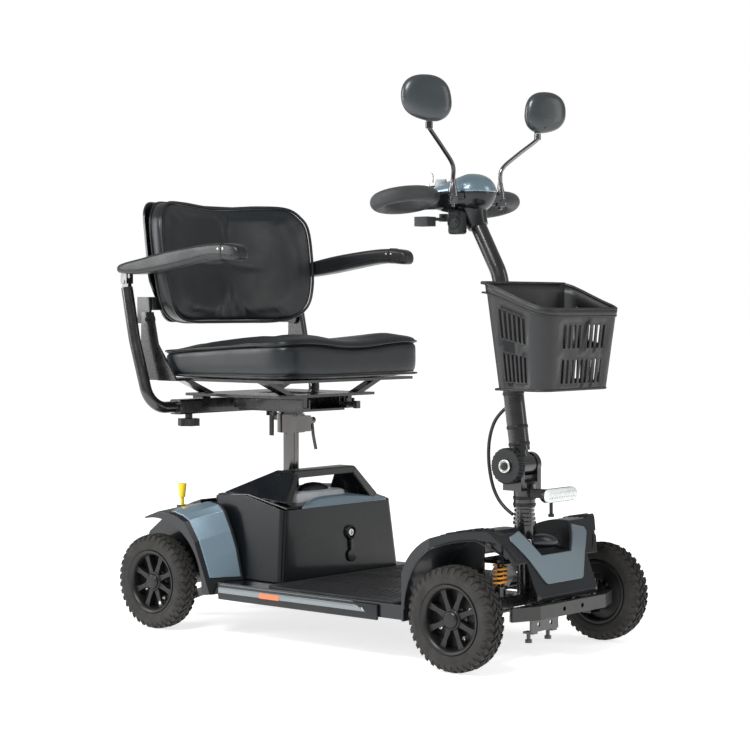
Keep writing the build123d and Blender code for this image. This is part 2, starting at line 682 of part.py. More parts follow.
# Cable from the tiller tube down to a gland on the column, bowed out behind
CABLE_RADIUS = 3.5
CABLE_ROUTE = [(0, -334, 480), (0, -312, 464), (0, -296, 430), (0, -291, 392), (0, -295, 350),
               (0, -307, 312), (0, -330, 284), (0, -352, 272)]


def cable_radii(points):
    """Each bend's radius: 0.45 of its shorter run over the tangent of half its turn."""
    radii = []
    for before, here, after in zip(points, points[1:], points[2:]):
        first = Vector(*here) - Vector(*before)
        second = Vector(*after) - Vector(*here)
        turn = first.get_angle(second)
        radii.append(0.45 * min(first.length, second.length) / tan(radians(turn) / 2))
    return radii


with BuildPart() as tiller_cable:
    bent_rod(CABLE_ROUTE, cable_radii(CABLE_ROUTE), CABLE_RADIUS)
keep(tiller_cable, "tiller_cable")
print("cable bend radii", [round(r) for r in cable_radii(CABLE_ROUTE)])


def rounded_section(z, half_width, y_rear, y_front, radius):
    """A rounded rectangle in plan, for lofting."""
    with BuildSketch(Plane(origin=(0, (y_rear + y_front) / 2, z))) as section:
        RectangleRounded(2 * half_width, y_rear - y_front, radius)
    return section.sketch


with BuildPart() as basket:
    loft([rounded_section(518, 112, -394, -508, 36), rounded_section(742, 138, -374, -533, 58)])
    loft([rounded_section(521, 109.4, -396.6, -505.4, 33.4),
          rounded_section(743, 135, -377, -530, 55)], mode=Mode.SUBTRACT)
    # The rim falls towards the front
    side_slab([(-358, 736), (-358, 760), (-548, 760), (-548, 672)], -160, 160, Mode.SUBTRACT)
    # Two rows of upright slots right through both side walls and the front
    for z_low, z_high in ((540, 592), (608, 662)):
        for column in range(5):
            y = -418 - 18 * column
            block((-170, y - 3.5, z_low), (170, y + 3.5, z_high), Mode.SUBTRACT)
        for column in range(-4, 5):
            block((column * 19 - 3.5, -540, z_low), (column * 19 + 3.5, -470, z_high),
                  Mode.SUBTRACT)
keep(basket, "basket")


# ---------------------------------------------------------------- battery

CASE_TOP = 292.0
CASE_PROFILE = [(80, 100), (80, 262), (104, 262), (215, 288), (330, 280), (330, 100)]


def battery_block(inset, z_low, z_high):
    """The battery box's tapering body, drawn in by inset."""
    with BuildSketch(Plane.XY.offset(z_low)) as foot:
        with Locations((0, 202)):
            Rectangle(2 * (188 - inset), 218 - 2 * inset)
    with BuildSketch(Plane.XY.offset(z_high)) as top:
        with Locations((0, 205)):
            Rectangle(2 * (167 - inset), 204 - 2 * inset)
    loft([foot.sketch, top.sketch])


with BuildPart() as battery_cavity:
    battery_block(SKIN, 120, CASE_TOP + 2)
    block((-36, 200, 100), (36, 330, 300), Mode.SUBTRACT)

with BuildPart() as battery_case:
    battery_block(0, 116, CASE_TOP)
    fillet(battery_case.edges().filter_by(lambda e: abs(e.tangent_at(0).Z) > 0.9), 14)
    side_view_of_case = side_view(-250)
    with BuildSketch(side_view_of_case) as case_side:
        Polygon(*CASE_PROFILE, align=None)
    extrude(case_side.sketch, amount=500, mode=Mode.INTERSECT)
    add(battery_cavity.part, mode=Mode.SUBTRACT)
    # Notch that clears the seat post's socket
    block((-31, 206, 100), (31, 330, 300), Mode.SUBTRACT)
    rod((29, 101, 202), (29, 95.5, 202), 15)
    rod((29, 98, 202), (29, 94, 202), 11, Mode.SUBTRACT)
keep(battery_case, "battery_case")

with BuildPart() as battery_cells:
    for side in (-1, 1):
        x_low, x_high = sorted((side * 40, side * 150))
        block((x_low, 112, 121), (x_high, 290, 232))
        rod((side * 60, 150, 232), (side * 60, 150, 242), 8)
        rod((side * 60, 250, 232), (side * 60, 250, 242), 8)
keep(battery_cells, "battery_cells")

LID_PROFILE = [(104, 262.3), (104, 268), (134, 282), (152, 322), (166, 338), (196, 338),
               (306, 288), (306, 282.4), (215, 288.3)]

with BuildPart() as battery_lid:
    with BuildSketch(front_view(100)):
        Polygon((-164, 262.2), (164, 262.2), (160, 290), (140, 298), (94, 338), (-94, 338),
                (-140, 298), (-160, 290), align=None)
    extrude(amount=-210)
    with BuildSketch(side_view(-200)):
        Polygon(*LID_PROFILE, align=None)
    extrude(amount=400, mode=Mode.INTERSECT)
    # Hand hole under the carrying bar, and the hollow underside
    with BuildSketch(front_view(90)):
        Polygon((-84, 292), (84, 292), (66, 320), (-66, 320), align=None)
    extrude(amount=-240, mode=Mode.SUBTRACT)
    block((-31, 206, 250), (31, 330, 345), Mode.SUBTRACT)
keep(battery_lid, "battery_lid")

with BuildPart() as charge_flap:
    block((25, 90.5, 158), (33, 93, 190))
    rod((29, 90.5, 153), (29, 93.5, 153), 13)
    rod((25, 91.8, 189), (33, 91.8, 189), 2)
keep(charge_flap, "charge_flap")


# ---------------------------------------------------------------- seat

with BuildPart() as seat_post:
    rod((0, POST_Y, 120), (0, POST_Y, 440), POST_RADIUS)
    rod((0, POST_Y, 410), (0, POST_Y, 449), 30)
    block((-24, 204, 412), (24, 240, 446))
    block((24, 208, 428), (33, 222, 442))
keep(seat_post, "seat_post")

with BuildPart() as clamp_lever:
    rod((33.6, 215, 435), (44, 215, 435), 7)
    bent_rod([(39, 215, 432), (41, 213, 402), (46, 210, 372)], 60, 3.6)
keep(clamp_lever, "clamp_lever")

with BuildPart() as seat_swivel:
    rod((0, POST_Y, 449.5), (0, POST_Y, 458), 27)
    block((-72, 150, 458), (72, 326, 463))
    # The two lower slide rails
    both_sides((58, 132, 463), (84, 328, 467))
    both_sides((58, 132, 467), (62, 328, 484))
    both_sides((80, 132, 467), (84, 328, 484))
    # Lugs for the swivel lever's pin
    block((-50, 246, 447), (-38, 249, 459))
    block((-50, 263, 447), (-38, 266, 459))
    rod((-44, 240, 453), (-44, 270, 453), 2.06, Mode.SUBTRACT)
keep(seat_swivel, "seat_swivel")

with BuildPart() as swivel_lever:
    rod((-44, 246, 453), (-44, 266, 453), 2)
    rod((-44, 249.5, 453), (-44, 262.5, 453), 3.5)
    block((-46, 251, 404), (-42, 261, 452))
keep(swivel_lever, "swivel_lever")

with BuildPart() as seat_frame:
    # Runners inside the lower rails
    both_sides((65, 134, 468), (77, 326, 490))
    # Lugs for the slide lever's pin
    block((37, 134, 471), (39, 142, 490))
    block((53, 134, 471), (55, 142, 490))
    rod((30, 138, 476), (60, 138, 476), 2.06, Mode.SUBTRACT)
    block((-150, 132, 489), (150, 410, 495))
    block((-40, 172, 480), (40, 308, 500), Mode.SUBTRACT)
    # Struts up to the seat pan
    for y in (150, 388):
        for side in (-1, 1):
            with BuildSketch(front_view(y + 12)):
                Polygon((side * 96, 495), (side * 120, 495), (side * 190, 524), (side * 166, 524),
                        align=None)
            extrude(amount=24)
    block((-205, 70, 523), (205, 415, 529))
    block((-130, 160, 515), (130, 340, 535), Mode.SUBTRACT)
    # Receiver tube for the armrests, and its hangers
    with BuildSketch(side_view(-190)):
        with Locations((RECEIVER_Y, RECEIVER_Z)):
            RectangleRounded(32, 32, 5)
    extrude(amount=380)
    both_sides((100, 384, 480), (124, 414, 492))
    rod((-192, RECEIVER_Y, RECEIVER_Z), (192, RECEIVER_Y, RECEIVER_Z), 12.5 + 0.1, Mode.SUBTRACT)
    # Hinge plates that stand up beside the cushion
    for x_low in (-233, 227):
        side_slab([(352, 524), (450, 524), (460, 600), (458, 668), (426, 668), (410, 600)],
                  x_low, x_low + 6)
    both_sides((200, 356, 523), (230, 412, 529))
    with BuildSketch(side_view(-240)):
        with Locations(BACKREST_PIVOT):
            Circle(5 + RUNNING)
    extrude(amount=480, mode=Mode.SUBTRACT)
keep(seat_frame, "seat_frame")

with BuildPart() as slide_lever:
    rod((37, 138, 476), (55, 138, 476), 2)
    rod((39.5, 138, 476), (52.5, 138, 476), 3.5)
    block((44, 96, 470), (48, 138, 478))
    block((40, 88, 464), (52, 98, 480))
keep(slide_lever, "slide_lever")

with BuildPart() as seat_cushion:
    block((-SEAT_HALF_WIDTH, SEAT_FRONT, SEAT_BASE_Z), (SEAT_HALF_WIDTH, SEAT_REAR, 584))
    fillet(seat_cushion.edges().filter_by(Axis.Z), 24)
    side_slab([(SEAT_FRONT + 2, 584), (SEAT_FRONT + 2, 612), (80, 628), (200, 624), (340, 604),
               (SEAT_REAR - 3, 594), (SEAT_REAR - 3, 584)], -SEAT_HALF_WIDTH + 2,
              SEAT_HALF_WIDTH - 2)
    block((-300, SEAT_FRONT, SEAT_BASE_Z), (300, SEAT_REAR, 640), Mode.INTERSECT)
keep(seat_cushion, "seat_cushion")


def make_armrest_tube(side, name):
    """Bent tube: slides in the receiver, then rises behind the elbow."""
    stop = side * 112
    with BuildPart() as tube:
        bent_rod([(stop, RECEIVER_Y, RECEIVER_Z), (side * ARM_X, RECEIVER_Y, RECEIVER_Z),
                  (side * ARM_X, 447, 609), (side * ARM_X, ARM_PIVOT[0], ARM_PIVOT[1] - 12)],
                 [44, 200], 12.5)
        x_low, x_high = sorted((side * (ARM_X - 5), side * (ARM_X + 5)))
        block((x_low, ARM_PIVOT[0] - 9, ARM_PIVOT[1] - 22), (x_high, ARM_PIVOT[0] + 9,
                                                            ARM_PIVOT[1] + 8))
        with BuildSketch(side_view(side * ARM_X - 10)):
            with Locations(ARM_PIVOT):
                Circle(4 + RUNNING)
        extrude(amount=20, mode=Mode.SUBTRACT)
    keep(tube, name)


ARM_SLAB = [(488, 750), (488, 766), (440, 777), (350, 792), (212, 808), (160, 806), (134, 796),
            (126, 784), (130, 772), (146, 768), (212, 776), (350, 754), (430, 744), (452, 749)]


def make_armrest(side, name):
    """Long pad on a forked bracket that turns on the tube's pin."""
    inner, outer = sorted((side * (ARM_X - 20), side * (ARM_X + 21)))
    with BuildPart() as armrest:
        side_slab(ARM_SLAB, inner, outer)
        fillet(armrest.edges().filter_by(Axis.X).group_by(Axis.Y)[0], 4)
        for x in (ARM_X - 9.5, ARM_X + 5.5):
            x_low, x_high = sorted((side * x, side * (x + 4)))
            side_slab([(ARM_PIVOT[0] - 9, 755), (ARM_PIVOT[0] - 9, 728), (ARM_PIVOT[0] + 9, 728),
                       (ARM_PIVOT[0] + 9, 755)], x_low, x_high)
        rod((side * (ARM_X - 11), *ARM_PIVOT), (side * (ARM_X + 11), *ARM_PIVOT), 4)
    keep(armrest, name)


def make_width_knob(side, name):
    """Six-lobed knob whose screw clamps the armrest tube in the receiver."""
    x = side * 150
    with BuildPart() as knob:
        with BuildSketch(Plane(origin=(x, RECEIVER_Y, 424))):
            Circle(20)
            with PolarLocations(18, 6):
                Circle(6)
        extrude(amount=16)
        rod((x, RECEIVER_Y, 440), (x, RECEIVER_Y, 449.6), 8)
    keep(knob, name)


for hand, hand_name in ((-1, "right"), (1, "left")):
    make_armrest_tube(hand, f"armrest_tube_{hand_name}")
    make_armrest(hand, f"armrest_{hand_name}")
    make_width_knob(hand, f"width_knob_{hand_name}")

BACK_LOW = 642.0
BACK_HIGH = 908.0
BACK_RAKE = 0.14
BACK_HALF_WIDTH = 238.0
BACK_WING = 56.0


def backrest_slice(front, rear):
    """A curved upright slab, its ends brought forward, raked back as it rises."""
    half = BACK_HALF_WIDTH
    wing = BACK_WING
    rise = BACK_HIGH - BACK_LOW
    with BuildSketch(Plane.XY.offset(BACK_LOW)) as plan:
        with BuildLine():
            ThreePointArc((-half, front - wing), (0, front), (half, front - wing))
            Line((half, front - wing), (half, rear - wing))
            ThreePointArc((half, rear - wing), (0, rear), (-half, rear - wing))
            Line((-half, rear - wing), (-half, front - wing))
        make_face()
    length = (rise ** 2 + (BACK_RAKE * rise) ** 2) ** 0.5
    extrude(plan.sketch, amount=length, dir=(0, BACK_RAKE, 1))


def backrest_front_view(inset):
    """Rounded outline, wide at the top and narrower at the bottom."""
    wide = BACK_HALF_WIDTH - inset
    with BuildSketch(front_view(600)) as outline:
        Polygon((-178 + inset, BACK_LOW + inset), (178 - inset, BACK_LOW + inset),
                (wide, 736), (wide - 4, BACK_HIGH - inset), (-wide + 4, BACK_HIGH - inset),
                (-wide, 736), align=None)
        fillet(outline.vertices(), 44)
    extrude(outline.sketch, amount=400, mode=Mode.INTERSECT)


with BuildPart() as backrest_cushion:
    backrest_slice(432, 470)
    backrest_front_view(0)
keep(backrest_cushion, "backrest_cushion")

with BuildPart() as backrest_shell:
    backrest_slice(470.3, 476)
    backrest_front_view(4)
    # Side arms down to the pivots, and their pins
    for side in (-1, 1):
        x_low, x_high = sorted((side * 220, side * 226))
        block((x_low, 440, 644), (x_high, 478, 700))
        rod((x_low, *BACKREST_PIVOT), (x_high, *BACKREST_PIVOT), 12)
        x_low, x_high = sorted((side * 190, side * 222))
        block((x_low, 424, 672), (x_high, 476, 700))
        rod((side * 225, *BACKREST_PIVOT), (side * 235, *BACKREST_PIVOT), 5)
    add(backrest_cushion.part, mode=Mode.SUBTRACT)
keep(backrest_shell, "backrest_shell")
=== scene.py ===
"""Looks of the mobility scooter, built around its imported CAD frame."""

import json
from math import cos, exp, pi, radians, sin

import bmesh
import bpy
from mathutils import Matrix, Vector
from mathutils.bvhtree import BVHTree


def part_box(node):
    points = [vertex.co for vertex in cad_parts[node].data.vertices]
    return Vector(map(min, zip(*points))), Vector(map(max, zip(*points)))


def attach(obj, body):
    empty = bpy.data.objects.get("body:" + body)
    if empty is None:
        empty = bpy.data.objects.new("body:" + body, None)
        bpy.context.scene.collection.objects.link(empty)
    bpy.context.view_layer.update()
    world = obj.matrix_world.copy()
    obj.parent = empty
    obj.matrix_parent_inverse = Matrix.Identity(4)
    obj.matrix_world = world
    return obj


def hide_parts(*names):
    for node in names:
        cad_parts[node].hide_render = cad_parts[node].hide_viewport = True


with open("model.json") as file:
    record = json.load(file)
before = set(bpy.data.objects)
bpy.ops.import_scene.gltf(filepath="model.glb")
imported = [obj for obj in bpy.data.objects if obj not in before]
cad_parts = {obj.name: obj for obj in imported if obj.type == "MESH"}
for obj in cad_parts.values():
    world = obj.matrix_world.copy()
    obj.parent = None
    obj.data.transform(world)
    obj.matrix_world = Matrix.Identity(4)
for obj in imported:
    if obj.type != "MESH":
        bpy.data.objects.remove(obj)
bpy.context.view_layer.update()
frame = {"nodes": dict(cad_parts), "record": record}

AXIS_X = Vector((1, 0, 0))
AXIS_Y = Vector((0, 1, 0))
AXIS_Z = Vector((0, 0, 1))


# ---------------------------------------------------------------- materials

class Shader:
    """A Principled material built up from small procedural layers."""

    def __init__(self, name, colour, roughness, metallic=0.0, coat=0.0, sheen=0.0, specular=0.5):
        self.material = bpy.data.materials.new(name)
        self.material.use_nodes = True
        self.material.diffuse_color = (*colour, 1)
        self.nodes = self.material.node_tree.nodes
        self.bsdf = self.nodes["Principled BSDF"]
        self.colour = colour
        self.height = None
        for key, value in (("Base Color", (*colour, 1)), ("Roughness", roughness),
                           ("Metallic", metallic), ("Coat Weight", coat),
                           ("Coat Roughness", 0.08), ("Sheen Weight", sheen),
                           ("Specular IOR Level", specular)):
            self.bsdf.inputs[key].default_value = value
        self.place = self.nodes.new("ShaderNodeTexCoord").outputs["Object"]

    def link(self, source, target):
        self.material.node_tree.links.new(source, target)

    def add(self, kind, **inputs):
        """A new node; each input is a socket to link to or a value to set."""
        node = self.nodes.new(f"ShaderNode{kind}")
        for key, value in inputs.items():
            socket = node.inputs[key.replace("_", " ")]
            if isinstance(value, bpy.types.NodeSocket):
                self.link(value, socket)
            else:
                socket.default_value = value
        return node

    def noise(self, scale, detail=4.0, stretch=(1, 1, 1)):
        mapping = self.add("Mapping", Scale=stretch, Vector=self.place)
        return self.add("TexNoise", Scale=scale, Detail=detail,
                        Vector=mapping.outputs["Vector"]).outputs["Fac"]

    def cells(self, scale, feature="DISTANCE_TO_EDGE"):
        texture = self.add("TexVoronoi", Vector=self.place)
        texture.feature = feature
        texture.inputs["Scale"].default_value = scale
        return texture.outputs["Distance"]

    def ramp(self, value, low, high, start=0.3, end=0.7):
        ramp = self.add("ValToRGB", Fac=value)
        for element, place, colour in zip(ramp.color_ramp.elements, (start, end), (low, high)):
            element.position = place
            element.color = (*colour, 1)
        return ramp.outputs["Color"]

    def mottle(self, scale, spread, detail=4.0, stretch=(1, 1, 1)):
        """Uneven colour: darker and lighter by spread, in patches."""
        low = [c * (1 - spread) for c in self.colour]
        high = [min(1, c * (1 + spread)) for c in self.colour]
        self.link(self.ramp(self.noise(scale, detail, stretch), low, high),
                  self.bsdf.inputs["Base Color"])
        return self

    def uneven_gloss(self, scale, low, high, detail=3.0):
        span = self.add("MapRange", From_Min=0.3, From_Max=0.7, To_Min=low, To_Max=high,
                        Value=self.noise(scale, detail))
        self.link(span.outputs["Result"], self.bsdf.inputs["Roughness"])
        return self

    def bump(self, value, strength, distance):
        node = self.add("Bump", Strength=strength, Distance=distance, Height=value)
        if self.height is not None:
            self.link(self.height, node.inputs["Normal"])
        return self.set_normal(node)

    def soft_edges(self, radius):
        """Catches the light along sharp edges as a rounded corner does."""
        node = self.add("Bevel", Radius=radius)
        node.samples = 4
        return self.set_normal(node)

    def set_normal(self, node):
        self.height = node.outputs["Normal"]
        self.link(self.height, self.bsdf.inputs["Normal"])
        return self


def finish(name, colour, roughness, edge, patches, gloss, grain, relief, **options):
    """A mottled, unevenly glossy material with a fine grain and, if edge is set, soft edges."""
    s = Shader(name, colour, roughness, **options)
    if edge:
        s.soft_edges(edge)
    s.mottle(*patches).uneven_gloss(*gloss)
    return s.bump(s.noise(*grain), *relief).material


def leatherette(name, colour):
    s = Shader(name, colour, 0.33, sheen=0.03, specular=0.42)
    s.bsdf.inputs["Sheen Roughness"].default_value = 0.4
    s.mottle(6, 0.16).uneven_gloss(22, 0.30, 0.42)
    s.bump(s.noise(55, 3), 0.10, 0.0012)
    return s.bump(s.cells(620), 0.22, 0.0004).material


def foam_grip():
    s = Shader("foam_grip", (0.024, 0.027, 0.029), 0.50, sheen=0.08)
    s.mottle(30, 0.2).uneven_gloss(60, 0.55, 0.72)
    return s.bump(s.cells(420, "F1"), 0.5, 0.0008).material


def lamp_lens():
    s = Shader("lamp_lens", (0.74, 0.77, 0.78), 0.20, coat=0.8)
    s.soft_edges(0.001).mottle(120, 0.10).uneven_gloss(60, 0.10, 0.2)
    return s.bump(s.cells(260, "F1"), 0.3, 0.0006).material


CHARCOAL = finish("charcoal_plastic", (0.0055, 0.0070, 0.0090), 0.27, 0.0025, (9, 0.12),
                  (12, 0.26, 0.32), (900, 2), (0.03, 0.0003), coat=0.35, specular=0.3)
SATIN = finish("satin_plastic", (0.0080, 0.0090, 0.0105), 0.36, 0.0018, (12, 0.2), (40, 0.36, 0.50),
               (1100, 2), (0.16, 0.0004), specular=0.4)
BLUE = finish("blue_panel", (0.170, 0.250, 0.305), 0.24, 0.002, (1400, 0.10, 1), (12, 0.22, 0.28),
              (2200, 1), (0.02, 0.0002), metallic=0.45, coat=1.0)
PAINT = finish("frame_paint", (0.007, 0.007, 0.008), 0.22, 0.0012, (20, 0.25), (50, 0.20, 0.36),
               (420, 3), (0.12, 0.0004), coat=0.7)
ZINC = finish("bright_zinc", (0.60, 0.60, 0.58), 0.30, 0.0005, (160, 0.12), (90, 0.22, 0.42),
              (700, 2), (0.08, 0.0003), metallic=1.0)
CHROME = finish("black_chrome", (0.20, 0.20, 0.21), 0.16, 0.0006, (30, 0.10), (40, 0.12, 0.22),
                (300, 2), (0.04, 0.0003), metallic=1.0)
ALLOY = finish("cast_alloy", (0.16, 0.16, 0.165), 0.55, 0.001, (60, 0.2), (60, 0.45, 0.65),
               (500, 4), (0.35, 0.0005), metallic=0.8)
RIM = finish("rim_paint", (0.009, 0.009, 0.0095), 0.34, 0.0008, (25, 0.2), (50, 0.32, 0.48),
             (600, 2), (0.12, 0.0003), metallic=0.2)
TYRE = finish("tyre_rubber", (0.026, 0.025, 0.023), 0.70, 0, (35, 0.28, 5), (60, 0.66, 0.88),
              (700, 3), (0.25, 0.0006), specular=0.35)
LEATHER = leatherette("seat_leatherette", (0.0085, 0.0115, 0.0140))
PIPING = leatherette("piping_leatherette", (0.006, 0.0065, 0.007))
ARM_LEATHER = leatherette("arm_leatherette", (0.0100, 0.0115, 0.0125))
FOAM = foam_grip()
MAT = finish("floor_rubber", (0.010, 0.0105, 0.012), 0.46, 0.0008, (10, 0.25), (30, 0.42, 0.62),
             (500, 3), (0.2, 0.0004))
SILL = finish("sill_grey", (0.165, 0.190, 0.205), 0.28, 0.002, (900, 0.06, 1), (12, 0.26, 0.32),
              (1500, 1), (0.05, 0.0002), metallic=0.3, coat=0.8)
ORANGE = finish("orange_paint", (0.86, 0.36, 0.02), 0.32, 0, (50, 0.12), (80, 0.26, 0.4),
                (600, 2), (0.12, 0.0003), coat=0.5)
ORANGE_MARK = finish("orange_mark", (0.62, 0.150, 0.035), 0.34, 0, (50, 0.12), (80, 0.26, 0.4),
                     (600, 2), (0.05, 0.0003), coat=0.5)
YELLOW = finish("yellow_plastic", (0.90, 0.66, 0.01), 0.30, 0.001, (40, 0.06), (60, 0.26, 0.38),
                (800, 2), (0.06, 0.0003), coat=0.4)
LENS = lamp_lens()
GLASS = finish("mirror_glass", (0.86, 0.88, 0.90), 0.03, 0, (10, 0.02), (30, 0.02, 0.05),
               (30, 1), (0.01, 0.0002), metallic=1.0)
BASKET = finish("basket_plastic", (0.014, 0.0145, 0.016), 0.40, 0, (14, 0.2), (30, 0.38, 0.54),
                (900, 3), (0.2, 0.0004))
CABLE = finish("cable_rubber", (0.012, 0.012, 0.013), 0.48, 0, (60, 0.2), (90, 0.4, 0.56),
               (900, 2), (0.15, 0.0003))
LIGHT = finish("light_plastic", (0.34, 0.36, 0.38), 0.36, 0.0006, (30, 0.1), (50, 0.3, 0.42),
               (900, 2), (0.1, 0.0003), coat=0.3)
MIRROR = finish("mirror_plastic", (0.030, 0.037, 0.040), 0.30, 0, (20, 0.1), (30, 0.26, 0.36),
                (1200, 2), (0.1, 0.0003), coat=0.2)
FASCIA = finish("fascia_paint", (0.150, 0.195, 0.225), 0.32, 0.0015, (900, 0.08, 1),
                (40, 0.30, 0.42), (1500, 1), (0.05, 0.0002), metallic=0.15, coat=0.4)
BRONZE = finish("bronze_coat", (0.016, 0.016, 0.015), 0.34, 0.0012, (30, 0.15), (50, 0.28, 0.42),
                (700, 2), (0.12, 0.0003), metallic=0.3, coat=0.3)
POST = finish("post_steel", (0.16, 0.155, 0.15), 0.14, 0, (14, 0.10, 3, (1, 1, 0.12)),
              (20, 0.12, 0.18), (300, 2, (1, 1, 0.05)), (0.03, 0.0002), metallic=1.0)

NODE_MATERIALS = {
    "cover_plastic": CHARCOAL, "panel_blue": BLUE, "frame_steel": PAINT, "bright_steel": ZINC,
    "cast_alloy": ALLOY, "rim_alloy": RIM, "tyre_rubber": TYRE, "seat_leather": LEATHER,
    "foam_grip": FOAM, "mat_rubber": MAT, "trim_grey": SILL, "spring_orange": ORANGE,
    "lever_yellow": YELLOW, "lamp_white": LENS, "basket_plastic": BASKET, "mirror_shell": SATIN,
    "stem_chrome": CHROME, "battery_plastic": CHARCOAL, "cable_rubber": CABLE, "dial_grey": LIGHT,
}

# Nodes whose finish differs from their slot's usual one
OWN_MATERIALS = {"front_fascia": FASCIA, "front_bumper": BRONZE, "seat_post": POST,
                 "seat_swivel": PAINT, "clamp_lever": PAINT, "ignition_key": ZINC,
                 "fold_knob": SATIN}

for part in frame["record"]["subparts"]:
    node = frame["nodes"][part["node"]]
    node.data.materials.clear()
    node.data.materials.append(OWN_MATERIALS.get(part["node"],
                                                 NODE_MATERIALS[part["material_slot"]]))


# ---------------------------------------------------------------- mesh tools

SIDES = ((-1, "right"), (1, "left"))


def placed(name, data):
    """A new object in the scene."""
    obj = bpy.data.objects.new(name, data)
    bpy.context.scene.collection.objects.link(obj)
    return obj


def piece(name, bm, body, material, stands_for=(), smooth=True, crease=None):
    """Turn a bmesh into an object that rides on a body; edges sharper than crease stay sharp."""
    mesh = bpy.data.meshes.new(name)
    bmesh.ops.recalc_face_normals(bm, faces=bm.faces)
    bm.to_mesh(mesh)
    bm.free()
    mesh.materials.append(material)
    if smooth:
        mesh.shade_smooth()
    obj = dress(placed(name, mesh), body, stands_for)
    return split_by_angle(obj, crease) if crease else obj


def dress(obj, body, stands_for=()):
    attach(obj, body)
    if stands_for:
        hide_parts(*stands_for)
    return obj


def bevelled(obj, width, segments=2, angle=35):
    modifier = obj.modifiers.new("bevel", "BEVEL")
    modifier.width = width
    modifier.segments = segments
    modifier.limit_method = "ANGLE"
    modifier.angle_limit = radians(angle)
    return obj


def subdivided(obj, levels=2):
    modifier = obj.modifiers.new("subdivision", "SUBSURF")
    modifier.levels = levels
    modifier.render_levels = levels
    return obj


def split_by_angle(obj, angle=32):
    """Smooth faces with crisp edges where they meet at more than the angle."""
    obj.data.set_sharp_from_angle(angle=radians(angle))
    return obj


def add_block(bm, corners, first=0):
    """A six-sided solid from its lower and upper four corners; first=1 leaves it open below."""
    verts = [bm.verts.new(c) for c in corners]
    for face in ((3, 2, 1, 0), (4, 5, 6, 7), (0, 1, 5, 4), (1, 2, 6, 5), (2, 3, 7, 6),
                 (3, 0, 4, 7))[first:]:
        bm.faces.new([verts[k] for k in face])


def add_box(bm, low, high):
    add_block(bm, [Vector((x, y, z)) for z in (low[2], high[2])
                   for x, y in ((low[0], low[1]), (high[0], low[1]), (high[0], high[1]),
                                (low[0], high[1]))])


def add_skin(bm, rings, closed=False):
    """Faces between rings of vertices that all have the same count."""
    for lower, upper in zip(rings, [*rings[1:], rings[0]] if closed else rings[1:]):
        count = len(lower)
        for k in range(count):
            n = (k + 1) % count
            bm.faces.new((lower[k], lower[n], upper[n], upper[k]))


def add_fan(bm, ring, place):
    """Close a ring of vertices with triangles that meet at a place in its middle."""
    hub = bm.verts.new(place)
    for k, vert in enumerate(ring):
        bm.faces.new((ring[(k + 1) % len(ring)], vert, hub))


def add_lathe(bm, profile, origin, axis, steps=48, closed=False):
    """Revolve (distance along axis, radius) pairs about an axis through origin."""
    turn = axis.to_track_quat("Z", "Y").to_matrix().to_4x4()
    rings = []
    for along, radius in profile:
        rings.append([bm.verts.new(origin + turn @ Vector((radius * cos(a), radius * sin(a),
                                                           along)))
                      for a in (2 * pi * k / steps for k in range(steps))])
    add_skin(bm, rings, closed)
    if not closed:
        for ring in (rings[0][::-1], rings[-1]):
            bm.faces.new(ring)


def add_prism(bm, outline, origin, across, up, depth):
    """Extrude a closed outline, given as (across, up) pairs, by the depth vector."""
    near = [bm.verts.new(origin + across * a + up * b) for a, b in outline]
    far = [bm.verts.new(v.co + depth) for v in near]
    bm.faces.new(near[::-1])
    bm.faces.new(far)
    add_skin(bm, [near, far])


def add_tube(bm, points, radius, steps=12, closed=False):
    """A round bar through the given points."""
    rings = []
    count = len(points)
    side = None
    for k, point in enumerate(points):
        before = points[(k - 1) % count] if closed or k else point
        after = points[(k + 1) % count] if closed or k < count - 1 else point
        along = (after - before).normalized()
        if side is None:
            side = along.orthogonal().normalized()
        side = (side - along * side.dot(along)).normalized()
        third = along.cross(side)
        r = radius[k] if isinstance(radius, list) else radius
        rings.append([bm.verts.new(point + side * (r * cos(a)) + third * (r * sin(a)))
                      for a in (2 * pi * j / steps for j in range(steps))])
    pairs = list(zip(rings, rings[1:]))
    if closed:
        pairs.append((rings[-1], rings[0]))
    for lower, upper in pairs:
        shift = 0
        if closed and upper is rings[0]:
            shift = min(range(steps), key=lambda s: (lower[0].co - upper[s].co).length)
        for j in range(steps):
            n = (j + 1) % steps
            bm.faces.new((lower[j], lower[n], upper[(n + shift) % steps],
                          upper[(j + shift) % steps]))
    if not closed:
        bm.faces.new(rings[0][::-1])
        bm.faces.new(rings[-1])


def smooth_path(points, steps=6, closed=False):
    """Catmull-Rom points through the given ones."""
    count = len(points)
    spans = count if closed else count - 1
    out = []
    for k in range(spans):
        a = points[(k - 1) % count] if closed or k else points[k]
        b = points[k]
        c = points[(k + 1) % count]
        d = points[(k + 2) % count] if closed or k < count - 2 else c
        for j in range(steps):
            t = j / steps
            out.append(0.5 * ((2 * b) + (c - a) * t + (2 * a - 5 * b + 4 * c - d) * t * t
                              + (3 * b - a - 3 * c + d) * t ** 3))
    if not closed:
        out.append(points[-1])
    return out


def rounded_outline(half_width, half_height, radius, steps=6):
    """A rounded rectangle as (across, up) pairs."""
    outline = []
    for quarter in range(4):
        sx = 1 if quarter in (0, 3) else -1
        sy = 1 if quarter in (0, 1) else -1
        for k in range(steps + 1):
            a = (quarter + k / steps) * pi / 2
            outline.append((sx * (half_width - radius) + radius * cos(a),
                            sy * (half_height - radius) + radius * sin(a)))
    return outline


def rounded_ring(centre, across, up, *size):
    """A rounded rectangle's outline as points about a centre."""
    return [centre + across * a + up * b for a, b in rounded_outline(*size)]


def add_bolt(bm, centre, axis, radius, height, hexagon=True):
    """A bolt head, hexagonal or round, standing along axis."""
    steps = 6 if hexagon else 20
    add_lathe(bm, [(-height, radius), (height * 0.7, radius), (height, radius * 0.82)],
              centre, axis, steps)


